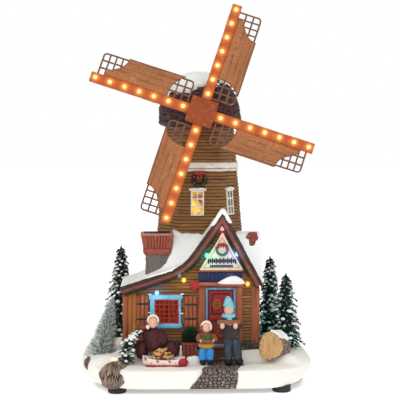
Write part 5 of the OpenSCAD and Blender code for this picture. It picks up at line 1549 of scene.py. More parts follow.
band_low = span("tower_band")[0]
white_wood = painted("white_wood", srgb(226, 220, 208), srgb(120, 104, 88), srgb(246, 244, 238),
                     stretch=(0.3, 0.3, 1), depth=0.4)


def hex_ring(profile, per_side=24, wobble=0.25, seed=0):
    """A moulding round the tower: a closed profile of (height, how far it stands out)."""
    ring = hexagon(per_side)
    profile = np.asarray(profile, float)
    reach = corner_radius(profile[:, 0]) + profile[:, 1] / math.cos(math.pi / 6)
    p = np.empty((len(profile), len(ring), 3))
    p[..., :2] = ring * reach[:, None, None] + mill
    p[..., 2] = profile[:, :1]
    return loft(p + wobble * np.stack([rough_noise(p, 5, seed + k) for k in range(3)], -1), ring=True)


bz = band_low[2]
band = joined(hex_ring([(bz + 2.4, 0), (bz + 2.6, 1.2), (bz + 3.2, 1.6), (bz + 7.2, 1.6), (bz + 7.7, 1.2),
                        (bz + 7.8, 0)]),
              hex_ring([(bz - 0.2, 0), (bz, 0.9), (bz + 0.5, 1.2), (bz + 1.7, 1.2), (bz + 2.0, 0.9),
                        (bz + 2.3, 0)], seed=4))
build("tower_band_painted", [(white_wood, band)], instead=["tower_band"])


def on_facet(part, turn):
    """Moves a part drawn on the plane y = 0 round x = 0 to the tower's leaning facet at this turn."""
    a = math.radians(turn)
    p = part["p"].copy()
    out = facet_reach(p[:, 2]) - p[:, 1]
    part["p"] = np.stack([mill[0] + math.sin(a) * out + math.cos(a) * p[:, 0],
                          mill[1] - math.cos(a) * out + math.sin(a) * p[:, 0], p[:, 2]], -1)
    return part


tz0, tz1, tw = 152.0, 174.6, 6.0
warm_panes = glazing("warm_panes", srgb(132, 76, 26), srgb(255, 208, 84), 0.42, scale=110.0)
# The side window's grey panes also glow faintly: painted light, and they are no lamp.
grey_panes = glazing("grey_panes", srgb(66, 66, 52), srgb(126, 116, 84), 0.1, scale=110.0, coat=0.1)
frames, panes, ledges = [], [], []
for turn, shift in ((0, -3.2), (60, -2.6)):
    parts = [block((x0 + shift, -1.9, z0), (x1 + shift, 0.5, z1), 0.3, wobble=0.12, seed=turn + 1, steps=8)
             for (x0, z0), (x1, z1) in (((-tw, tz0), (-tw + 1.3, tz1)), ((tw - 1.3, tz0), (tw, tz1)),
                                        ((-0.45, tz0), (0.45, tz1)))]
    parts += [block((-tw + shift, -2.0, z - 0.6), (tw + shift, 0.5, z + 0.6), 0.3, axis=0, wobble=0.12,
                    seed=turn + 2, steps=8)
              for z in (tz0 + 0.6, tz0 + 7.7, tz0 + 15.0, tz1 - 0.6)]
    parts.append(block((-tw - 1.8 + shift, -2.8, tz1), (tw + 2.4 + shift, 0.5, tz1 + 1.5), 0.5, axis=0,
                       wobble=0.25, seed=turn + 3, steps=10))
    sheet = glass_sheet(-tw + 0.8 + shift, tw - 0.8 + shift, tz0, tz1, -1.2, thick=1.2, cells_x=2, cells_z=3)
    ledge_snow = drift(-tw - 2.2 + shift, tw + 2.6 + shift, -3.0, 0.2, tz1 + 1.2, 1.5, 5, 0.5)
    frames.append(on_facet(joined(*parts), turn))
    panes.append(on_facet(sheet, turn))
    ledges.append(on_facet(ledge_snow, turn))
build("tower_windows_lit",
      [(white_wood, joined(*frames)), (warm_panes, panes[0]), (grey_panes, panes[1]),
       (cold_snow, joined(*ledges))],
      instead=["tower_windows"])

tower_wreath_at = np.array([1.0, mill[1] - facet_reach(184.5) - 2.2, 184.5])
tower_bow = bow_knot((tower_wreath_at[0], tower_wreath_at[1] - 2.6, tower_wreath_at[2] + 5.6), 4.8, 14)
berries = joined(*[lump(tower_wreath_at + (5.5 * math.cos(a), -3.0, 5.5 * math.sin(a)), (0.8, 0.8, 0.8), k,
                        rows=8, around=10)
                   for k, a in enumerate((0.3, 2.7, 3.7, 4.5, 5.4))])
sign_ring = np.array(sign_wreath_at)
sign_berries = joined(*[lump(sign_ring
                             + ((4.2 + 1.4 * (k % 2)) * math.cos(a), -1.9,
                                (4.2 + 1.4 * (k % 2)) * math.sin(a)), (1.0, 0.8, 1.0), k, rows=8, around=10)
                        for k, a in enumerate(np.linspace(0.35, 2.8, 8))])
build("wreaths_bristled", [(garland_green, wreath(tuple(tower_wreath_at), 5.2, 2200, 17, thick=3.3)),
                           (bow_red, joined(tower_bow, berries, sign_berries))],
                           instead=["wreaths"])

# ---- the mill's cap ----
# A domed cap of rough dark thatch over a rounded eave, cast hollow, with snow lying on its crown and
# down its left side.

cap_low, cap_high = span("mill_cap")
cap_r = (cap_high[0] - cap_low[0]) / 2
eave_z = cap_low[2] + 5


def cap_profile(t):
    """Radius and height of the dome: 0 at the eave to 1 at the crown; radius falls as cos to the 0.8."""
    a = t * math.pi / 2
    return cap_r * np.clip(np.cos(a), 1e-3, 1) ** 0.8, eave_z + 43 * np.sin(a)


def dome(grow, lift, steps=150, rows=64):
    """Rings of the cap's surface, pushed out square to it by grow, an array over height and turn."""
    t = np.linspace(0, 0.985, rows)[:, None]
    a = np.linspace(0, TURN, steps, endpoint=False)[None, :]
    r, z = cap_profile(t)
    tilt = t * math.pi / 2
    p = np.stack([mill[0] + (r + grow * np.cos(tilt)) * np.cos(a),
                  mill[1] + (r + grow * np.cos(tilt)) * np.sin(a),
                  z + grow * np.sin(tilt) + lift + 0 * a], -1)
    return p, t, a


def cap_shell():
    """The thatch: tufts of the cell pattern, long down the slope; an eave that rolls under; inside, the same
    dome 4 mm in."""
    t = np.linspace(0, 0.985, 64)[:, None]
    a = np.linspace(0, TURN, 150, endpoint=False)[None, :]
    _, gap, own = cells(a * 22 + 0.6 * np.sin(t * 40), t * 9, 4)
    p, t, a = dome(0.0, 0.0)
    rough = 0.9 * smooth(0, 0.4, gap) * (0.5 + own) - 0.8 + 1.1 * rough_noise(p, 9, 5)
    outer, t, a = dome(rough, 0.0)
    eave = []
    for r, z in ((cap_r - 8.5, cap_low[2] + 0.3), (cap_r - 5.5, cap_low[2]), (cap_r - 1.6, cap_low[2] + 1.4),
                 (cap_r + 0.2, cap_low[2] + 3.4)):
        ring = np.stack([mill[0] + r * np.cos(a[0]), mill[1] + r * np.sin(a[0]), np.full(a.shape[1], z)], -1)
        eave.append(ring + 0.5 * np.stack([rough_noise(ring, 3, k) for k in range(3)], -1))
    inner, t, a = dome(-4.0, -0.5, rows=12)
    p = np.concatenate([np.array(eave), outer, inner[::-1]])
    relief = np.concatenate([np.full((4, 150), 0.5), smooth(0, 0.35, gap), np.zeros((12, 150))])
    tone = np.concatenate([np.full((4, 150), 0.5), own, np.zeros((12, 150))])
    return loft(p, relief, tone, ring=True)


def cap_drift():
    """Snow on the cap: the same dome, standing out where it lies and sunk below the thatch elsewhere. It
    lies above a line that noise moves, lower on the left."""
    p, t, a = dome(0.0, 0.0, rows=80)
    left = 0.5 - 0.5 * np.cos(a - math.pi * 0.94)
    line = 0.54 - 0.2 * (1 - left) + 0.16 * rough_noise(p, 13, 31) - 0.13 * rough_noise(p, 4, 33)
    cover = smooth(0.0, 0.07, t - line)
    p, t, a = dome(-2.0 + (4.2 + 0.7 * rough_noise(p, 6, 35)) * cover, 0.0, rows=80)
    floor_ring = dome(-3.0, 0.0, rows=80)[0][:1]
    return loft(np.concatenate([floor_ring, p]), 1.0)


thatch = painted("thatch", srgb(80, 50, 48), srgb(30, 18, 18), srgb(122, 90, 84), stretch=(1, 1, 0.3),
                 grain=420.0, depth=0.7)
build("cap_thatched", [(thatch, cap_shell())], instead=["mill_cap"])
build("cap_snow_lying", [(cold_snow, cap_drift())], instead=["cap_snow"])

# ---- the four sails and their hub ----
# Each sail is a painted wooden stock with seven lamps let into its face, a thin veneer board along one
# side and slatted frames beyond the board's ends. All are pinned to a square hub plate on the windshaft.

hub_at = np.array([mill[0], -42.0, tower_top + 11])
shaft_tilt = math.radians(11.5)
rest_turn = 18.5
stock_half, stock_deep, sail_r = 4.3, 2.5, 103.0
lamp_u = 17.4 + np.arange(7) * (sail_r - 4.4 - 17.4) / 6


def on_sail(part, index):
    """Moves a part drawn as (across, along, forward) to one sail, turned about the tilted windshaft."""
    a = math.radians(-rest_turn - 90 * index)
    w, u, z = part["p"].T
    x, y = w * math.cos(a) - u * math.sin(a), w * math.sin(a) + u * math.cos(a)
    c, s = math.cos(shaft_tilt), math.sin(shaft_tilt)
    moved = dict(part)
    moved["p"] = hub_at + np.stack([x, y * s - z * c, y * c + z * s], -1)
    return moved


def four(part):
    """The same part on all four sails."""
    return joined(*[on_sail(part, k) for k in range(4)])


def lamp_shine(p, power=1.0):
    """Lamplight on a stock: white-yellow close to each lamp, orange and then red further off, each fading
    as an exponential of distance."""
    light = np.zeros(p.shape[:-1] + (3,))
    for u in lamp_u:
        d = np.sqrt(p[..., 0] ** 2 + (p[..., 1] - u) ** 2 + 1.6 * (p[..., 2] - stock_deep) ** 2)
        light += np.exp(-((d / 2.6) ** 2))[..., None] * np.array((1.0, 0.5, 0.08)) * 0.9
        light += np.exp(-((d / 5.2) ** 1.5))[..., None] * np.array((0.9, 0.2, 0.015)) * 0.36
    return light * power


def stock():
    """A square bar with rounded edges; each lamp sits in a shallow dish, its depth a smooth step of the
    distance from the lamp. The edges are hand-cut: noise waves them a little."""
    u = np.linspace(6.5, sail_r, 300)[:, None]
    s = np.linspace(-1, 1, 22)
    face_w = stock_half * np.sign(s) * np.abs(s)
    cross = np.concatenate([np.stack([face_w, np.full(22, stock_deep)], -1),
                            np.stack([face_w[::-1], np.full(22, -stock_deep)], -1)])
    edge = np.abs(cross[:, 0]) > stock_half - 0.6
    cross[edge, 1] *= 0.86
    w, z = cross[None, :, 0] + 0 * u, cross[None, :, 1] + 0 * u
    u = u + 0 * w
    p = np.stack([w, u, z], -1)
    d = np.min(np.hypot(w[..., None], u[..., None] - lamp_u), -1)
    dish = smooth(2.9, 1.7, d) * 0.75 * (z > 0)
    rim = smooth(1.1, 0, np.abs(d - 3.1)) * 0.22 * (z > 0)
    p[..., 2] += rim - dish
    p += 0.16 * np.stack([rough_noise(p, 6, k) for k in range(3)], -1)
    relief = 1 - 0.25 * smooth(2.6, 3.2, d) * smooth(4.2, 3.4, d)
    return loft(p, relief, noise(p * (1, 0.1, 1), 2.0, 3), glow=lamp_shine(p))


stock_wood = painted("stock_wood", srgb(156, 64, 18), srgb(80, 30, 10), srgb(194, 104, 46), grain=260.0,
                     depth=0.5, bump=0.3, shine=0.5)
build("sail_stocks", [(stock_wood, four(stock()))], body="sails",
      instead=["sail_frame_1", "sail_frame_2", "sail_frame_3", "sail_frame_4"])


def sail_board():
    """A thin board between the curves of its two ends, with a dark worn line along its outer edge and
    shallow grooves that run the length of its veneer."""
    w = np.linspace(stock_half - 0.3, 26, 80)[:, None]
    inner = bend((stock_half, 34), (18.7, 34), (26, 23), 40)
    outer = np.vstack([bend((stock_half, 92.4), (9.4, 92.4), (12, 86.7), 20),
                       bend((13.5, 83.9), (17.2, 76.4), (26, 75.4), 20)])
    u0, u1 = np.interp(w, inner[:, 0], inner[:, 1]), np.interp(w, outer[:, 0], outer[:, 1])
    share = np.linspace(0, 1, 72)[None, :]
    u = u0 + (u1 - u0) * share
    w = w + 0 * u
    grain = rough_noise(np.stack([w, u * 0.04, 0 * w], -1), 1.1, 9)
    strip = smooth(0.18, 0.0, np.abs((w - 4.3) % 7.2 - 0.3)) * 0.25
    wear = np.minimum(np.minimum(26 - w, (u - u0) + 0.2), (u1 - u) + 0.2)
    edge = smooth(1.3, 0.3, wear)
    curl = 0.35 * np.sin(u / 21.0) + 0.25 * rough_noise(np.stack([w, u, 0 * w], -1), 22, 4)
    top = np.stack([w, u, 1.0 + 0.14 * grain - strip - 0.35 * edge + curl], -1)
    return plate(top, np.stack([w, u, -1.0 + 0.14 * grain + 0.3 * edge + curl], -1),
                 relief=0.92 - 0.5 * edge - strip + 0.55 * grain,
                 tone=np.clip(0.5 + 0.9 * rough_noise(np.stack([w, u * 0.03, 0 * w], -1), 1.2, 7), 0, 1),
                 glow=lamp_shine(np.stack([w, u, 0 * w + stock_deep], -1), 0.7))


veneer = painted("veneer", srgb(158, 100, 60), srgb(98, 56, 32), srgb(188, 136, 94), grain=420.0, depth=0.45,
                 bump=0.3)
build("sail_boards_veneered", [(veneer, four(sail_board()))], body="sails",
      instead=["sail_board_1", "sail_board_2", "sail_board_3", "sail_board_4"])


def slats(u0, u1, open_end):
    """A slatted frame: three long bars and rungs between them, of round rod, with the outer corner at the
    open end rounded."""
    columns = stock_half + (24.8 - stock_half) * np.array([1, 2, 3]) / 3 - 0.7
    rungs = np.linspace(u0 + 0.7, u1 - 0.7, int(round((u1 - u0) / 6.8)) + 1)
    outer, end = columns[-1], u0 + 0.7 if open_end < 0 else u1 - 0.7
    other = u1 if open_end < 0 else u0
    parts = []
    for x in columns[:-1]:
        parts.append(cable(np.stack([np.full(24, x), np.linspace(u0, u1, 24), 0 * np.arange(24.0)], -1), 0.78,
                           8, tone=0.5))
    arc = np.linspace(0, math.pi / 2, 9)
    turn = np.stack([outer - 3 + 3 * np.sin(arc), end - open_end * 3 * (1 - np.cos(arc)), 0 * arc], -1)
    run = np.vstack([[[stock_half - 0.4, end, 0]], [[outer - 6, end, 0]], turn,
                     [[outer, (end + other) / 2, 0]], [[outer, other, 0]]])
    parts.append(cable(run, 0.8, 8))
    for u in rungs:
        if abs(u - end) > 1:
            parts.append(cable(np.stack([np.linspace(stock_half - 0.4, outer, 20), np.full(20, u),
                                         0 * np.arange(20.0)], -1), 0.72, 8))
    part = joined(*parts)
    part["p"] += 0.1 * np.stack([rough_noise(part["p"], 4, k) for k in range(3)], -1)
    part["glow"] = lamp_shine(part["p"] + (0, 0, stock_deep), 0.6)
    return part


slat_wood = painted("slat_wood", srgb(112, 76, 60), srgb(56, 36, 28), srgb(168, 126, 108), grain=300.0,
                    depth=0.5)
build("sail_slats", [(slat_wood, four(joined(slats(14, 35, -1), slats(74, 98.5, 1))))], body="sails")

lamp_glass = glass("lamp_glass", 2.6)
domes = joined(*[turned([(0.05, 1.0), (1.5, 1.0), (1.6, 2.2), (1.58, 3.0), (1.35, 3.7), (0.85, 4.15),
                         (0.05, 4.3)], (0, u), 20) for u in lamp_u])
domes["glow"][:] = (1.0, 0.62, 0.2)
build("sail_lamps_lit", [(lamp_glass, four(domes))], body="sails", instead=["sail_lamps"])

hub_wood = painted("hub_wood", srgb(144, 66, 28), srgb(78, 34, 14), srgb(184, 108, 58), grain=300.0,
                   depth=0.5)
hub_parts = joined(block((-8, -8, -4), (8, 8, 2.5), 0.7, wobble=0.2, steps=6),
                   block((-12, -12, 2.45), (12, 12, 5.0), 0.6, wobble=0.2, seed=3, steps=5),
                   turned([(2.1, -12), (6, -12), (6.2, -11), (6.0, -4.2), (6.6, -3.8), (2.1, -3.6)], (0, 0),
                          40))
hub_parts = on_sail(hub_parts, 0)
build("hub_plated", [(hub_wood, hub_parts)], body="sails", instead=["hub"])

# ---- the trees ----
# Wire firs: a trunk with drooping boughs of clipped bristle, flocked with white on their tips. The one
# at the front left is a frosted bottle brush; a small one in front of it bends over at its tip.


def dots(centres, sizes, seed, rows=5, around=7):
    """Many small pats at once: flattened balls of a few dozen faces, each with its own size."""
    rng = np.random.default_rng(seed)
    e = np.linspace(-1.2, 1.3, rows)[:, None]
    a = np.linspace(0, TURN, around, endpoint=False)[None, :]
    ball = np.stack([np.cos(e) * np.cos(a), np.cos(e) * np.sin(a), np.sin(e) + 0 * a], -1)
    size = np.asarray(sizes, float)[:, None, None, :] * rng.uniform(0.75, 1.25,
                                                                    (len(centres), rows, around, 1))
    return loft(np.asarray(centres, float)[:, None, None, :] + ball * size)


def fir(axis, r, seed, tiers=17, per_tier=11, each=44, length=3.2, snow=0.1, droop=0.42, taper=0.62):
    """A fir about a bent axis. Boughs leave it at turns of the golden angle; each needle's root is a
    random place on a bough, whose height falls with the square of the way out, and its tip points on
    outwards. Gives green needles, white needles, pats of snow and the dark core, a solid cone in painted
    shade that fills the middle of the boughs."""
    rng = np.random.default_rng(seed)
    axis = np.asarray(axis, float)
    run = np.linspace(0, 1, len(axis))
    spot = lambda t: np.stack([np.interp(t, run, axis[:, k]) for k in range(3)], -1)
    boughs = tiers * per_tier
    t = 0.03 + 0.93 * ((np.arange(boughs) + rng.uniform(-0.3, 0.3, boughs)) / boughs) ** 1.12
    turn = np.arange(boughs) * 2.39996
    reach = (r * (1 - t) ** taper + 0.8) * (0.8 + 0.4 * rng.uniform(size=boughs)) * (0.86 + 0.14
            * np.cos(t * tiers * TURN))
    way = np.stack([np.cos(turn), np.sin(turn), 0 * turn], -1)
    many = lambda v: np.repeat(v, each, axis=0)
    out = rng.uniform(0.1, 1, boughs * each) ** 0.7
    step = many(way) * (many(reach) * out)[:, None]
    fall = many(reach) * (0.16 - droop * out ** 2)
    root = many(spot(t)) + step + np.stack([0 * out, 0 * out, fall], -1)
    lean = many(way) * 0.75 + rng.normal(size=(len(out), 3)) * 0.55 + np.array([0, 0, -0.12])
    lean /= np.linalg.norm(lean, axis=1)[:, None]
    size = length * (0.45 + 0.75 * many((1 - t) ** 0.5)) * rng.uniform(0.6, 1.1, len(out))
    tip = root + lean * size[:, None]
    white = (rng.uniform(size=len(out)) < snow * (0.35 + 0.9 * out)) & (lean[:, 2] > -0.25)
    tone = rng.uniform(0, 1, len(out))
    green_part = needles(root[~white], tip[~white], 0.34, tone[~white], 0.35 + 0.65 * out[~white])
    white_part = needles(root[white] + (0, 0, 0.3), tip[white] + (0, 0, 0.3), 0.42, tone[white])
    laden = rng.uniform(size=boughs) < 0.5
    at = spot(t[laden]) + way[laden] * (reach[laden] * 0.84)[:,
                                                             None] + np.stack([0 * t[laden], 0 * t[laden],
                                                                     reach[laden] * (0.16 - droop * 0.6)
                                                                     + 0.9], -1)
    wide = 0.8 + 1.25 * (1 - t[laden]) ** 0.6
    wide = wide * rng.uniform(0.6, 1.45, len(wide))
    pats = dots(at, np.stack([wide * 1.15, wide * 1.15, wide * 0.66], -1), seed + 1)
    a = np.linspace(0, TURN, 10, endpoint=False)[None, :, None]
    along = np.linspace(0, 1, 16)
    girth = (0.46 * r * (1 - along) ** taper + 0.3)[:, None, None]
    # The core is a solid cone with low relief, so it comes out dark: painted shade in the middle of the
    # boughs.
    core = loft(spot(along)[:, None, :] + girth * np.concatenate([np.cos(a), np.sin(a), 0 * a], -1), 0.1, 0.2)
    return green_part, white_part, pats, core


fir_green = painted("fir_green", srgb(20, 48, 36), srgb(8, 18, 14), srgb(48, 92, 66), grain=500.0, depth=0.3,
                    bump=0.2)
teal_glow = np.array([0.0, 0.12, 0.08])


def plant(name, axis, r, seed, instead, tint=0.0, slot="fir", green=fir_green, **settings):
    """A fir as one piece; tint lights its snow with the string's teal lamps on one side."""
    green_part, white_part, pats, core = fir(axis, r, seed, **settings)
    for part in (white_part, pats):
        if tint:
            patch = smooth(0.3, 0.6, noise(part["p"], 14, seed))
            part["glow"] = part["glow"] + tint * patch[:, None] * teal_glow
    return build(name, [(green, joined(green_part, core)), (cold_snow, joined(white_part, pats))],
                 instead=[instead])


def upright(name, lean=(0.0, 0.0)):
    """The middle of a tree's foot and its tip from its CAD node, and half its width."""
    low, high = span(name)
    mid = (low[:2] + high[:2]) / 2
    foot = np.array([*mid, low[2] + 1.0])
    return foot, np.array([mid[0] + lean[0], mid[1] + lean[1], high[2] - 2.0]), (high[0] - low[0]) / 2


for name, seed, tint, count in (("tree_rear_left", 3, 0.0, 20), ("tree_tall_right", 5, 0.6, 20),
                                ("tree_short_right", 9, 1.6, 16)):
    foot, tip, r = upright(name)
    plant(name + "_bristled", [foot, tip + (0, 0, 1.5)], r + 1.2, seed, name, tint=tint, tiers=count - 4,
          per_tier=12, each=46, length=3.6)

small_low, small_high = span("tree_small")
small_line = bend((-64.5, -59.5, small_low[2] + 2), (-62.5, -59, small_high[2] - 2),
                  (-51.0, -58, small_high[2] - 2.0), 12)
plant("tree_small_bristled", small_line, 6.6, 21, "tree_small", tiers=10, per_tier=10, each=26, length=2.5,
      snow=0.14, taper=0.5)


def bottle_brush(foot, tip, r, seed, count=7500):
    """A bottle brush: straight bristles that leave the wire outwards and a little up, longest near the
    foot; their length falls with height and noise lifts some."""
    rng = np.random.default_rng(seed)
    foot, tip = np.asarray(foot, float), np.asarray(tip, float)
    t = rng.uniform(0, 1, count) ** 1.25
    turn = rng.uniform(0, TURN, count)
    way = np.stack([np.cos(turn), np.sin(turn), 0.35 + 0.35 * rng.uniform(size=count)], -1)
    way += 0.22 * rng.normal(size=(count, 3))
    way /= np.linalg.norm(way, axis=1)[:, None]
    reach = (r * (1 - t) ** 0.7 + 1.2) * rng.uniform(0.55, 1.08, count)
    start = rng.uniform(0.0, 0.55, count)
    at = foot + (tip - foot) * t[:, None]
    root, end = at + way * (reach * start)[:, None], at + way * reach[:, None]
    root[:, 2] -= 0.18 * reach
    end[:, 2] -= 0.18 * reach
    end[:, 0] = np.maximum(end[:, 0], base_low[0] + 0.2)
    root[:, 0] = np.maximum(root[:, 0], base_low[0] + 0.4)
    return root, end, rng.uniform(0, 1, count), t


front_low, front_high = span("tree_front_left")
brush_foot, brush_tip = np.array([-88.0, -34.0, front_low[2] + 3]), np.array([-76.5, -34.0,
        front_high[2] - 3])
root, end, tone, height = bottle_brush(brush_foot, brush_tip, 15.5, 31)
kind = np.random.default_rng(4).uniform(0, 1, len(tone))
frost_green = painted("frost_green", srgb(96, 138, 116), srgb(34, 66, 52), srgb(176, 206, 190), grain=500.0,
                      depth=0.3, bump=0.2)
pick = lambda mask, thick: needles(root[mask], end[mask], thick, tone[mask])
build("tree_front_left_brush",
      [(fir_green, pick(kind < 0.14, 0.3)), (frost_green, pick((kind >= 0.14) & (kind < 0.42), 0.26)),
                                (cold_snow, pick(kind >= 0.42, 0.27)),
                                (bark_paint, cable(np.linspace(brush_foot - (0, 0, 4), brush_tip, 14),
                                                   np.linspace(1.5, 0.5, 14), 8))],
      instead=["tree_front_left"])

# ---- the cut log and the planter ----
# A short log lies with its sawn face to the front and snow along its back; a brick-red wooden trough
# against the wall holds a clipped bush with a few rusty leaves climbing behind it.

log_low, log_high = span("cut_log")
log_face = np.array([log_low[0] + 10.4, log_low[1] + 1.5, (log_low[2] + log_high[2]) / 2 + 0.8])
log_run = np.array([9.0, 16.0, -2.5])


log_half = np.array([10.4, 1, 12.0])     # half its width and height; the middle one is unused


def log_ring(t, a, grow=0.0):
    """The log's surface at a share t along it and a turn a: an egg-shaped ring, worn flat in places."""
    form = 1 + 0.07 * np.cos(3 * a + 0.6) + 0.05 * rough_noise(np.stack([np.cos(a), np.sin(a), t], -1), 0.9,
                                                               8)
    p = log_face + t[..., None] * log_run
    out = np.stack([np.cos(a), 0 * a, np.sin(a)], -1)
    return p + out * (log_half * form[..., None] + np.broadcast_to(grow, form.shape)[..., None])


def log_side():
    """Bark: the cell pattern, long with the log, stands out of dark cracks."""
    t, a = np.meshgrid(np.linspace(0.015, 1, 46), np.linspace(0, TURN, 110, endpoint=False), indexing="ij")
    _, gap, own = cells(a * 22 / TURN, t * 4, 6)
    grow = 0.9 * smooth(0, 0.35, gap) * (0.6 + 0.6 * own) - 0.5
    return loft(log_ring(t, a, grow), relief=smooth(0, 0.3, gap), tone=own)


def sawn_face():
    """The sawn end: growth rings as a small ripple of the distance from the pith, and radial checks."""
    s, a = np.meshgrid(np.linspace(0.02, 1, 44), np.linspace(0, TURN, 110, endpoint=False), indexing="ij")
    rim = log_ring(0 * a, a)
    p = log_face + (rim - log_face) * s[..., None]
    wave = 0.16 * np.sin(s * 46 + 1.4
                         * np.sin(2 * a)) + 0.9 * rough_noise(np.stack([p[..., 0] * 0.6, 0 * s,
                                                                        p[..., 2] * 0.25], -1), 2.5, 3)
    check = smooth(0.1, 0.0, np.abs((a * 2.1 + 0.3 * np.sin(9 * s)) % 1 - 0.5)) * s
    front = p + np.stack([0 * s, -0.9 - wave * smooth(1.0, 0.85, s) + 0.6 * check + 0.8 * smooth(0.9, 1.0, s),
                          0 * s], -1)
    back = p + np.array([0, 1.5, 0])
    whole = np.concatenate([front, back[::-1]])
    relief = np.concatenate([0.75 + 0.25 * np.sin(s * 46) - 0.6 * check, np.zeros_like(s)])
    return loft(whole, relief, np.concatenate([0.4 + 0.4 * wave, 0 * s]))


def log_snow():
    """Snow along the log's back: the same surface standing out over the upper right, sunk elsewhere."""
    t, a = np.meshgrid(np.linspace(0.05, 0.98, 40), np.linspace(0, TURN, 90, endpoint=False), indexing="ij")
    p = log_ring(t, a)
    edge = 0.12 * rough_noise(p, 4, 11)
    cover = smooth(0.55, 0.75, a + edge * 2) * smooth(1.85, 1.6, a + edge * 2) * smooth(0.05, 0.12,
            t) * smooth(0.98, 0.9, t)
    return loft(log_ring(t, a, -2.2 + cover * (4.4 + 0.6 * rough_noise(p, 4, 12))))


log_ochre = painted("log_ochre", srgb(206, 166, 112), srgb(128, 90, 54), srgb(236, 208, 162),
                    stretch=(1, 1, 0.3), grain=300.0, depth=0.5)
build("cut_log_barked", [(bark_paint, log_side()), (log_ochre, sawn_face()), (cold_snow, log_snow())],
      instead=["cut_log"])

pot_low, pot_high = span("planter")
pot_top = pot_low[2] + 18
pot_rng = np.random.default_rng(12)
slat_x = np.linspace(pot_low[0], pot_high[0], 5)
pot_brown = painted("pot_brown", srgb(112, 54, 42), srgb(40, 18, 14), srgb(156, 92, 74), stretch=(1, 1, 0.3),
                    depth=0.6)
trough = joined(block(np.stack([slat_x[:-1] + 0.15, np.full(4, pot_low[1]), np.full(4, pot_low[2] + 1)], -1),
                      np.stack([slat_x[1:] - 0.15, np.full(4, pot_high[1]), np.full(4, pot_top - 1)], -1),
                      0.5, wobble=0.25, steps=8, tone=[0.2, 0.6, 0.4, 0.8]),
                block((pot_low[0] - 0.5, pot_low[1] - 0.6, pot_top - 2.2),
                      (pot_high[0] + 0.5, pot_high[1], pot_top), 0.5, axis=0, wobble=0.3, steps=10))
n = 2600
bush_x = pot_rng.uniform(-6.5, 6.5, n) + (pot_low[0] + pot_high[0]) / 2
bush_y = pot_rng.uniform(-3.0, 3.0, n) + (pot_low[1] + pot_high[1]) / 2
bush_top = 15 * np.sqrt(np.clip(1 - ((bush_x - (pot_low[0] + pot_high[0]) / 2) / 7.6) ** 2, 0.05, 1))
bush_root = np.stack([bush_x, bush_y, pot_top - 1 + bush_top * pot_rng.uniform(0, 0.85, n)], -1)
bush_way = pot_rng.normal(size=(n, 3)) * (0.6, 0.5, 0.4) + (0, -0.1, 0.75)
bush_way /= np.linalg.norm(bush_way, axis=1)[:, None]
bush = needles(bush_root, bush_root + bush_way * 3.0, 0.3, pot_rng.uniform(0, 1, n),
               0.3 + 0.7 * (bush_root[:, 2] - pot_top) / 15)
leaf_at = np.stack([pot_rng.uniform(-13.4, -4.3, 26), np.full(26, front_y - 1.8),
                    pot_rng.uniform(53, 62, 26)], -1)
leaf_rust = painted("leaf_rust", srgb(128, 62, 34), srgb(60, 28, 16), srgb(176, 110, 60), grain=500.0)
stake = block((pot_low[0] - 1.8, pot_low[1] - 1.5, yard_z + 6),
              (pot_low[0] - 0.7, pot_low[1] - 0.3, yard_z + 16), 0.3, wobble=0.15, steps=8)
pot_drift = lump(((pot_low[0] + pot_high[0]) / 2 - 1, pot_low[1] + 0.5, pot_low[2] + 0.5), (10.5, 4.5, 6.0),
                 5, rough=0.3)
build("planter_filled",
      [(pot_brown, trough), (garland_green, bush),
       (leaf_rust, dots(leaf_at, np.full((26, 3), 1.1) * (1, 0.5, 1), 3)),
                         (white_wood, stake), (cold_snow, pot_drift)], instead=["planter"])

# ---- the people and their sled ----
# Small cast figures, painted by hand: a man in a knitted hat who carries a plank, a child with a tray
# and a woman who kneels behind a loaded sled. Their faces are calm and plain.


def limb(points, radii, squash=1.0, around=18, steps=26, folds=0.0, seed=0, wave=3.0):
    """A rounded tube along a smooth path: a circle of changing radius, squashed front to back, that
    closes at both ends as a quarter circle; folds are soft noise pressed into it."""
    points, radii = np.asarray(points, float), np.asarray(radii, float)
    at = np.linspace(0, 1, len(points))
    s = np.linspace(0, 1, steps)
    curve = np.stack([np.interp(s, at, points[:, k]) for k in range(3)], -1)
    for _ in range(2):
        curve[1:-1] = (curve[:-2] + 2 * curve[1:-1] + curve[2:]) / 4
    r = np.interp(s, at, radii)
    length = np.linalg.norm(points[-1] - points[0]) + 1e-6
    near_end = np.minimum(s, 1 - s) * length / (np.minimum(r, length / 2) + 1e-6)
    r = r * np.sqrt(np.clip(1 - (1 - np.clip(near_end, 0.02, 1)) ** 2, 0.02, 1))
    way = np.gradient(curve, axis=0)
    way /= np.linalg.norm(way, axis=1)[:, None]
    side = np.cross(way, -Y)
    side /= np.linalg.norm(side, axis=1)[:, None] + 1e-9
    other = np.cross(side, way)
    a = np.linspace(0, TURN, around, endpoint=False)[None, :, None]
    p = curve[:, None] + r[:, None, None] * (np.cos(a) * side[:, None] + squash * np.sin(a) * other[:, None])
    crease = rough_noise(p * (1, 1, 0.6), wave, seed) if folds else np.zeros(p.shape[:-1])
    centre = curve[:, None]
    p = centre + (p - centre) * (1 + folds * crease)[..., None]
    # Relief and tone follow the folds: painted shade in their hollows and painted highlight on their crests.
    return loft(p, relief=0.82 + 0.4 * crease, tone=0.5 + 0.4 * crease)


def cloth(name, colour, fold, thread, grain=600.0):
    """Painted clothing: flat colour, with painted shade washed dark into its folds and painted highlight
    dry-brushed on their tops.
    """
    return painted(name, colour, fold, thread, grain=grain, depth=0.35, bump=0.5)


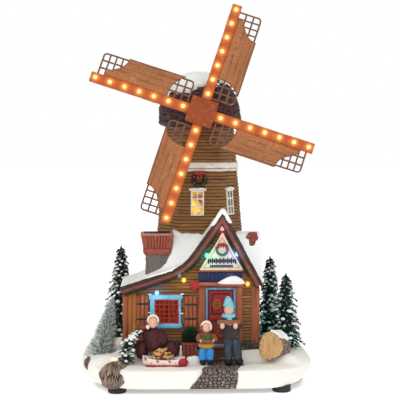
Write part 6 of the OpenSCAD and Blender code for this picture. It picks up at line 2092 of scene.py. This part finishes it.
skin = cloth("skin_paint", srgb(226, 172, 148), srgb(164, 96, 80), srgb(242, 204, 184))
eye_dark = moulded("eye_dark", srgb(40, 28, 26), rough=0.4, cloud=400.0)
knit_blue = cloth("knit_blue", srgb(120, 190, 206), srgb(56, 112, 132), srgb(182, 226, 232))
jacket = cloth("jacket", srgb(52, 44, 46), srgb(20, 16, 18), srgb(96, 84, 84))
trouser = cloth("trouser", srgb(52, 64, 74), srgb(20, 26, 32), srgb(98, 112, 122))
boot = cloth("boot", srgb(26, 22, 22), srgb(10, 9, 9), srgb(62, 54, 50))
fur_white = cloth("fur_white", srgb(232, 220, 208), srgb(160, 130, 116), srgb(250, 244, 238))


def head(at, r, seed, turn=0.0):
    """A plain head: an egg with a small nose, cheeks, brows and mouth as soft swellings, and painted eyes."""
    a = np.linspace(0, TURN, 36, endpoint=False)[None, :]
    e = np.linspace(-1.5, 1.5, 30)[:, None]
    way = np.stack([np.cos(e) * np.sin(a), -np.cos(e) * np.cos(a), np.sin(e) + 0 * a], -1)
    spot = lambda x, z, w: np.exp(-(((way[..., 0] - x) / w) ** 2 + ((way[..., 2] - z) / w) ** 2)) * (way[...,
            1] < 0)
    swell = 1 + 0.13 * spot(0, -0.08, 0.13) + 0.05 * (spot(-0.42, -0.22, 0.25) + spot(0.42, -0.22, 0.25)) \
        - 0.05 * (spot(-0.34, 0.14, 0.16) + spot(0.34, 0.14, 0.16)) - 0.04 * spot(0, -0.42,
                0.14) + 0.04 * spot(0, -0.62, 0.2)
    p = way * swell[..., None] * np.array([0.9, 0.95, 1.12]) * r
    eyes = dots([(-0.33 * r, -0.86 * r, 0.13 * r), (0.33 * r, -0.86 * r, 0.13 * r)],
                np.full((2, 3), 0.085 * r), seed)
    c, s = math.cos(turn), math.sin(turn)
    for q in (p, eyes["p"]):
        x, y = q[..., 0].copy(), q[..., 1].copy()
        q[..., 0], q[..., 1] = x * c - y * s, x * s + y * c
        q += np.asarray(at, float)
    rosy = 0.6 + 0.4 * (swell - 1) * 5
    return loft(p, relief=np.clip(0.9 - 3 * np.clip(1 - swell, 0, 1) - 2.2 * (swell - 1), 0.35, 1),
                tone=rosy), eyes


def mixed_boots(feet, floor_level, r, seed):
    """A pair of boots: each a short rounded tube with its toe to the front."""
    return joined(*[limb([(x, y + 1.6, floor_level + r * 0.95), (x, y - 1.5, floor_level + r * 0.85),
                          (x + s * 0.4, y - 4.4, floor_level + r * 0.7)],
                         [r, r * 1.05, r * 0.8], steps=14, seed=seed) for s, x, y in feet])


man_low, man_high = span("figure_man")
mx, my, mz = (man_low[0] + man_high[0]) / 2 - 1.5, (man_low[1] + man_high[1]) / 2, yard_z + 0.6
man_head, man_eyes = head((mx - 2.2, my - 1.4, mz + 48.0), 4.5, 3, turn=-0.25)
legs = joined(limb([(mx - 2.6, my + 0.5, mz + 24), (mx - 2.6, my, mz + 13), (mx - 3.2, my, mz + 2.2)],
                   [4.4, 3.7, 3.4], folds=0.12, seed=1, steps=40),
              limb([(mx + 3.4, my + 0.5, mz + 24), (mx + 5.2, my, mz + 13), (mx + 6.6, my, mz + 2.2)],
                   [4.4, 3.7, 3.4], folds=0.12, seed=2, steps=40))
coat = joined(limb([(mx + 0.4, my, mz + 19.5), (mx - 0.4, my, mz + 29), (mx - 2.0, my, mz + 39),
                    (mx - 2.4, my, mz + 43)], [7.9, 7.7, 8.2, 4.0], squash=0.68, folds=0.08, seed=3, steps=46,
                    around=30),
              limb([(mx - 8.6, my, mz + 39), (mx - 10.8, my - 2.5, mz + 33.5),
                    (mx - 9.0, my - 5.2, mz + 36.0)], [3.3, 3.2, 2.5], folds=0.1, seed=4),
              limb([(mx + 4.4, my, mz + 38.6), (mx + 6.2, my - 2.5, mz + 33),
                    (mx + 3.6, my - 5.2, mz + 35.6)], [3.3, 3.2, 2.5], folds=0.1, seed=5))
hands = joined(lump((mx - 8.2, my - 7.4, mz + 35.0), (2.1, 1.9, 2.9), 1, rows=12, around=16),
               lump((mx + 3.2, my - 7.4, mz + 34.8), (2.1, 1.9, 2.9), 2, rows=12, around=16))


def knit(centre, r, rise, seed):
    """A knitted hat: a rolled brim and a crown of upright ribs whose radius falls as a quarter circle."""
    a = np.linspace(0, TURN, 72, endpoint=False)[None, :]
    t = np.linspace(0, 0.97, 24)[:, None]
    rr = r * np.cos(t * math.pi / 2) * (1 + 0.035 * np.cos(18 * a) * (1 - t))
    crown_part = np.stack([rr * np.cos(a) - 0.6 * t ** 2 * r * 0.3, rr * np.sin(a),
                           rise * np.sin(t * math.pi / 2) ** 1.2 + 0 * a], -1) + np.asarray(centre, float)
    brim = hoop(centre, r, r * 0.2, axis=2, steps=60, around=12)
    brim["p"] += 0.12 * np.stack([rough_noise(brim["p"], 1.6, seed + k) for k in range(3)], -1)
    return joined(loft(crown_part, relief=0.85 + 0.15 * np.cos(18 * a) + 0 * t), brim)


hat = knit((mx - 2.2, my - 0.6, mz + 50.8), 4.2, 8.6, 2)
hat["p"][:, 2] += 0.16 * (mx - hat["p"][:, 0])
scarf = joined(hoop((mx - 2.3, my - 0.6, mz + 42.6), 4.2, 1.9, axis=2, steps=40, around=12),
               limb([(mx - 2.2, my - 5.4, mz + 42.4), (mx - 1.6, my - 6.3, mz + 38),
                     (mx - 1.4, my - 6.2, mz + 35)], [2.2, 2.4, 2.2], squash=0.5))
plank_brown = painted("plank_brown", srgb(134, 84, 58), srgb(56, 30, 20), srgb(182, 132, 100),
                      stretch=(0.12, 1, 1), depth=0.6)
carried = joined(block((mx - 12.6, my - 8.2, mz + 36.0), (mx + 7.4, my - 5.6, mz + 40.2), 0.6, axis=0,
                       wobble=0.3, seed=2, steps=18))
build("man_painted",
      [(skin, joined(man_head, hands)), (eye_dark, man_eyes), (knit_blue, joined(hat, scarf)), (jacket, coat),
       (trouser, legs),
                      (plank_brown, carried),
                      (boot, mixed_boots(((-1, mx - 2.6, my), (1, mx + 7.0, my)), mz - 0.4, 3.5, 1))],
      instead=["figure_man"])

child_low, child_high = span("figure_child")
cx, cy, cz = (child_low[0] + child_high[0]) / 2 + 0.4, (child_low[1] + child_high[1]) / 2, yard_z + 0.6
brown_coat = cloth("brown_coat", srgb(128, 82, 54), srgb(56, 32, 20), srgb(176, 128, 92))
ochre_coat = cloth("ochre_coat", srgb(186, 132, 62), srgb(102, 62, 26), srgb(218, 178, 112))
bright_blue = cloth("bright_blue", srgb(46, 138, 204), srgb(18, 66, 116), srgb(126, 190, 228))
tray_green = cloth("tray_green", srgb(70, 88, 46), srgb(30, 38, 20), srgb(128, 142, 84))
child_head, child_eyes = head((cx, cy - 1.6, cz + 32.2), 3.7, 5, turn=0.15)
hood_part = lump((cx, cy + 1.2, cz + 33.0), (5.0, 4.6, 5.4), 6, rows=26, around=34, rough=0.08)
hood_trim = hoop((cx - 0.1, cy - 1.9, cz + 33.0), 4.1, 1.0, axis=1, steps=44, around=12, squash=1.1)
hood_trim["p"][:, 1] += 3.5 * smooth(0.5, -2.5,
                                     hood_trim["p"][:, 2] - cz - 32.5 - 0.6 * (cx - hood_trim["p"][:, 0]))
hood_trim["p"] += 0.3 * np.stack([rough_noise(hood_trim["p"], 1.3, 40 + k) for k in range(3)], -1)
coat_top = joined(limb([(cx, cy, cz + 18), (cx, cy, cz + 24), (cx, cy, cz + 29.5)], [7.4, 7.0, 4.4],
                       squash=0.75, folds=0.1, seed=6, around=30),
                  limb([(cx - 5.4, cy, cz + 27), (cx - 6.8, cy - 2.5, cz + 22.4),
                        (cx - 4.6, cy - 5.0, cz + 21.5)], [2.7, 2.7, 2.0], folds=0.1, seed=7),
                  limb([(cx + 5.4, cy, cz + 27), (cx + 7.2, cy - 2.5, cz + 22.4),
                        (cx + 4.8, cy - 5.0, cz + 21.5)], [2.7, 2.7, 2.0], folds=0.1, seed=8))
coat_hem = limb([(cx, cy, cz + 13.4), (cx, cy, cz + 17), (cx, cy, cz + 21)], [7.2, 7.3, 6.4], squash=0.78,
                folds=0.12, seed=9, around=30)
child_legs = joined(limb([(cx - 3.0, cy, cz + 15), (cx - 3.2, cy, cz + 2)], [3.4, 3.2], folds=0.12, seed=10),
                    limb([(cx + 3.0, cy, cz + 15), (cx + 3.2, cy, cz + 2)], [3.4, 3.2], folds=0.12, seed=11))
tray = block((cx - 4.6, cy - 8.6, cz + 20.4), (cx + 5.4, cy - 4.4, cz + 22.4), 0.5, axis=0, wobble=0.2,
             steps=10)
load_rng = np.random.default_rng(2)
load = dots(np.stack([load_rng.uniform(-4, 4.8, 24) + cx, load_rng.uniform(-8, -5, 24) + cy,
                      load_rng.uniform(22.4, 25.4, 24) + cz], -1), np.full((24, 3), 1.2), 6)
child_hands = joined(lump((cx - 4.9, cy - 5.6, cz + 21.4), (1.3, 1.3, 1.5), 3, rows=10, around=12),
                     lump((cx + 5.4, cy - 5.6, cz + 21.4), (1.3, 1.3, 1.5), 4, rows=10, around=12))
build("child_painted",
      [(skin, joined(child_head, child_hands)), (eye_dark, child_eyes),
       (brown_coat, joined(hood_part, coat_top)), (fur_white, hood_trim),
                        (ochre_coat, coat_hem), (bright_blue, child_legs), (plank_brown, tray),
                        (tray_green, load),
                        (boot, mixed_boots(((-1, cx - 3.1, cy), (1, cx + 3.1, cy)), cz - 0.4, 2.7, 2))],
      instead=["figure_child"])

face_at = np.array([-40.6, -54.5, 60.4])
maroon = cloth("maroon_coat", srgb(70, 26, 30), srgb(28, 10, 12), srgb(118, 58, 58))
sleeve_brown = cloth("sleeve_brown", srgb(116, 66, 46), srgb(50, 26, 18), srgb(164, 110, 82))
woman_head, woman_eyes = head(face_at, 4.3, 7, turn=0.1)
wool = joined(limb([(-41.0, -50.5, 57), (-41.5, -51, 50), (-37.5, -49.5, 42), (-29.5, -48.5, 34)],
                   [4.0, 8.6, 10.6, 8.6], squash=0.75, folds=0.14, seed=12, steps=50, around=36),
              limb([(-33.0, -50.5, 41), (-24.5, -51, 35), (-22.0, -52, 29)], [7.6, 7.2, 5.4], squash=0.8,
                   folds=0.14, seed=13, steps=36),
              limb([(-50, -51, 44), (-51, -51.5, 36), (-50, -52, 28)], [4.6, 5.6, 5.4], squash=0.8,
                   folds=0.12, seed=14),
              limb([(-36, -51.5, 52.5), (-30.5, -54.0, 46), (-32.5, -57.0, 41)], [3.4, 3.3, 2.6], folds=0.1,
                   seed=15))
sleeve = limb([(-47.0, -51.5, 51.5), (-54.6, -53.5, 55.6), (-46.5, -56.0, 57.0)], [3.0, 2.7, 2.2], folds=0.1,
              seed=16, steps=34)
mitten = lump((-45.2, -56.8, 57.0), (1.7, 1.6, 1.8), 8, rows=12, around=14)
cap_trim = hoop(face_at + (0, 0.9, 1.6), 4.3, 1.15, axis=1, steps=44, around=12, squash=1.05)
cap_trim["p"] += 0.35 * np.stack([rough_noise(cap_trim["p"], 1.3, 50 + k) for k in range(3)], -1)
trim_low = cap_trim["p"][:, 2] < face_at[2] + 0.4
cap_trim["p"][trim_low, 1] += 2.0
cap_back = lump(face_at + (0, 2.6, 1.6), (4.6, 4.0, 5.0), 9, rows=22, around=28, rough=0.08)
build("woman_painted",
      [(skin, woman_head), (eye_dark, woman_eyes), (maroon, joined(wool, cap_back)), (sleeve_brown, sleeve),
       (fur_white, joined(cap_trim, mitten))],
      instead=["figure_woman"])

sled_low, sled_high = span("sled")
sled_y = (sled_low[1] + sled_high[1]) / 2


def sled_tub():
    """The sled's body: an open boat shape, its sides swept up towards both ends, with a wavy painted line
    given by the sine of its length; the outside, the rim and the inside are one ring of rings."""
    s = np.linspace(0, 1, 60)[:, None]
    x0, x1 = -49.8, -13.0
    sheer = 2.4 * (2 * s - 1) ** 2
    half = 6.4 * np.sqrt(np.clip(1 - (2 * s - 1) ** 4, 0.03, 1))
    line = [(-0.0, 24.6), (-0.72, 24.8), (-0.95, 26.6), (-1.06, 29.6), (-1.0, 30.4), (-0.86, 30.0),
            (-0.8, 27.4), (-0.5, 26.4),
            (0.5, 26.4), (0.8, 27.4), (0.86, 30.0), (1.0, 30.4), (1.06, 29.6), (0.95, 26.6), (0.72, 24.8)]
    w = np.array([v for v, _ in line])[None, :]
    z = np.array([v for _, v in line])[None, :]
    p = np.stack([x0 + (x1 - x0) * s + 0 * w, sled_y + half * w, z + sheer * (z - 23) / 7 - 1.4 * s], -1)
    wavy = smooth(0.9, 0.3, np.abs(z - 28.2 - 1.0 * np.sin(s * 22)))
    p += 0.25 * np.stack([rough_noise(p, 3, k) for k in range(3)], -1)
    return loft(p, relief=1 - wavy, tone=0.5 + 0 * p[..., 0])


tub_pink = painted("tub_pink", srgb(232, 208, 202), srgb(92, 44, 48), srgb(246, 234, 230), grain=420.0,
                   depth=0.25)
runner_red = cloth("runner_red", srgb(150, 36, 44), srgb(70, 14, 20), srgb(196, 84, 84))
runners = joined(*[cable(np.vstack([np.column_stack([np.linspace(-47, -17, 20),
                                                     np.full(20, sled_y + side * 5.6), np.full(20, 23.9)]),
                                    np.column_stack([-17 + 6.2 * np.sin(np.linspace(0.1, 2.6, 16)),
                                                     np.full(16, sled_y + side * 5.6),
                                                     27.4 - 3.5 * np.cos(np.linspace(0.1, 2.6, 16))])]), 0.9,
                                                     8)
                   for side in (-1, 1)])
sled_end = joined(limb([(-19.5, sled_y - 3, 28), (-14.2, sled_y - 5.2, 27.2), (-12.4, sled_y - 5.6, 25.0)],
                       [3.6, 3.2, 2.0], squash=0.8, seed=20))
pile_rng = np.random.default_rng(6)
logs = []
for k in range(15):
    row = 0 if k < 7 else 1 if k < 12 else 2
    x = (-40.2 + 2.6 * k) if row == 0 else (-38.6 + 2.7 * (k - 7)) if row == 1 else (-35.8 + 2.6 * (k - 12))
    tilt, rise, thick = pile_rng.uniform(-3.2, 3.2), pile_rng.uniform(-0.8, 0.9), pile_rng.uniform(1.15, 1.85)
    logs.append(limb([(x - tilt, sled_y - 5.2 + pile_rng.uniform(-1.2, 1.8), 31.6 + 3.0 * row + rise),
                      (x + tilt, sled_y + 4.5, 31.6 + 3.0 * row - rise)], [thick, thick * 0.9], folds=0.5,
                      seed=60 + k, steps=14, around=7))
fire_wood = painted("fire_wood", srgb(204, 156, 102), srgb(110, 70, 40), srgb(240, 208, 160),
                    stretch=(1, 0.2, 1), grain=300.0, depth=0.6)
build("sled_loaded",
      [(tub_pink, sled_tub()), (runner_red, joined(runners, sled_end)), (fire_wood, joined(*logs))],
      instead=["sled"])
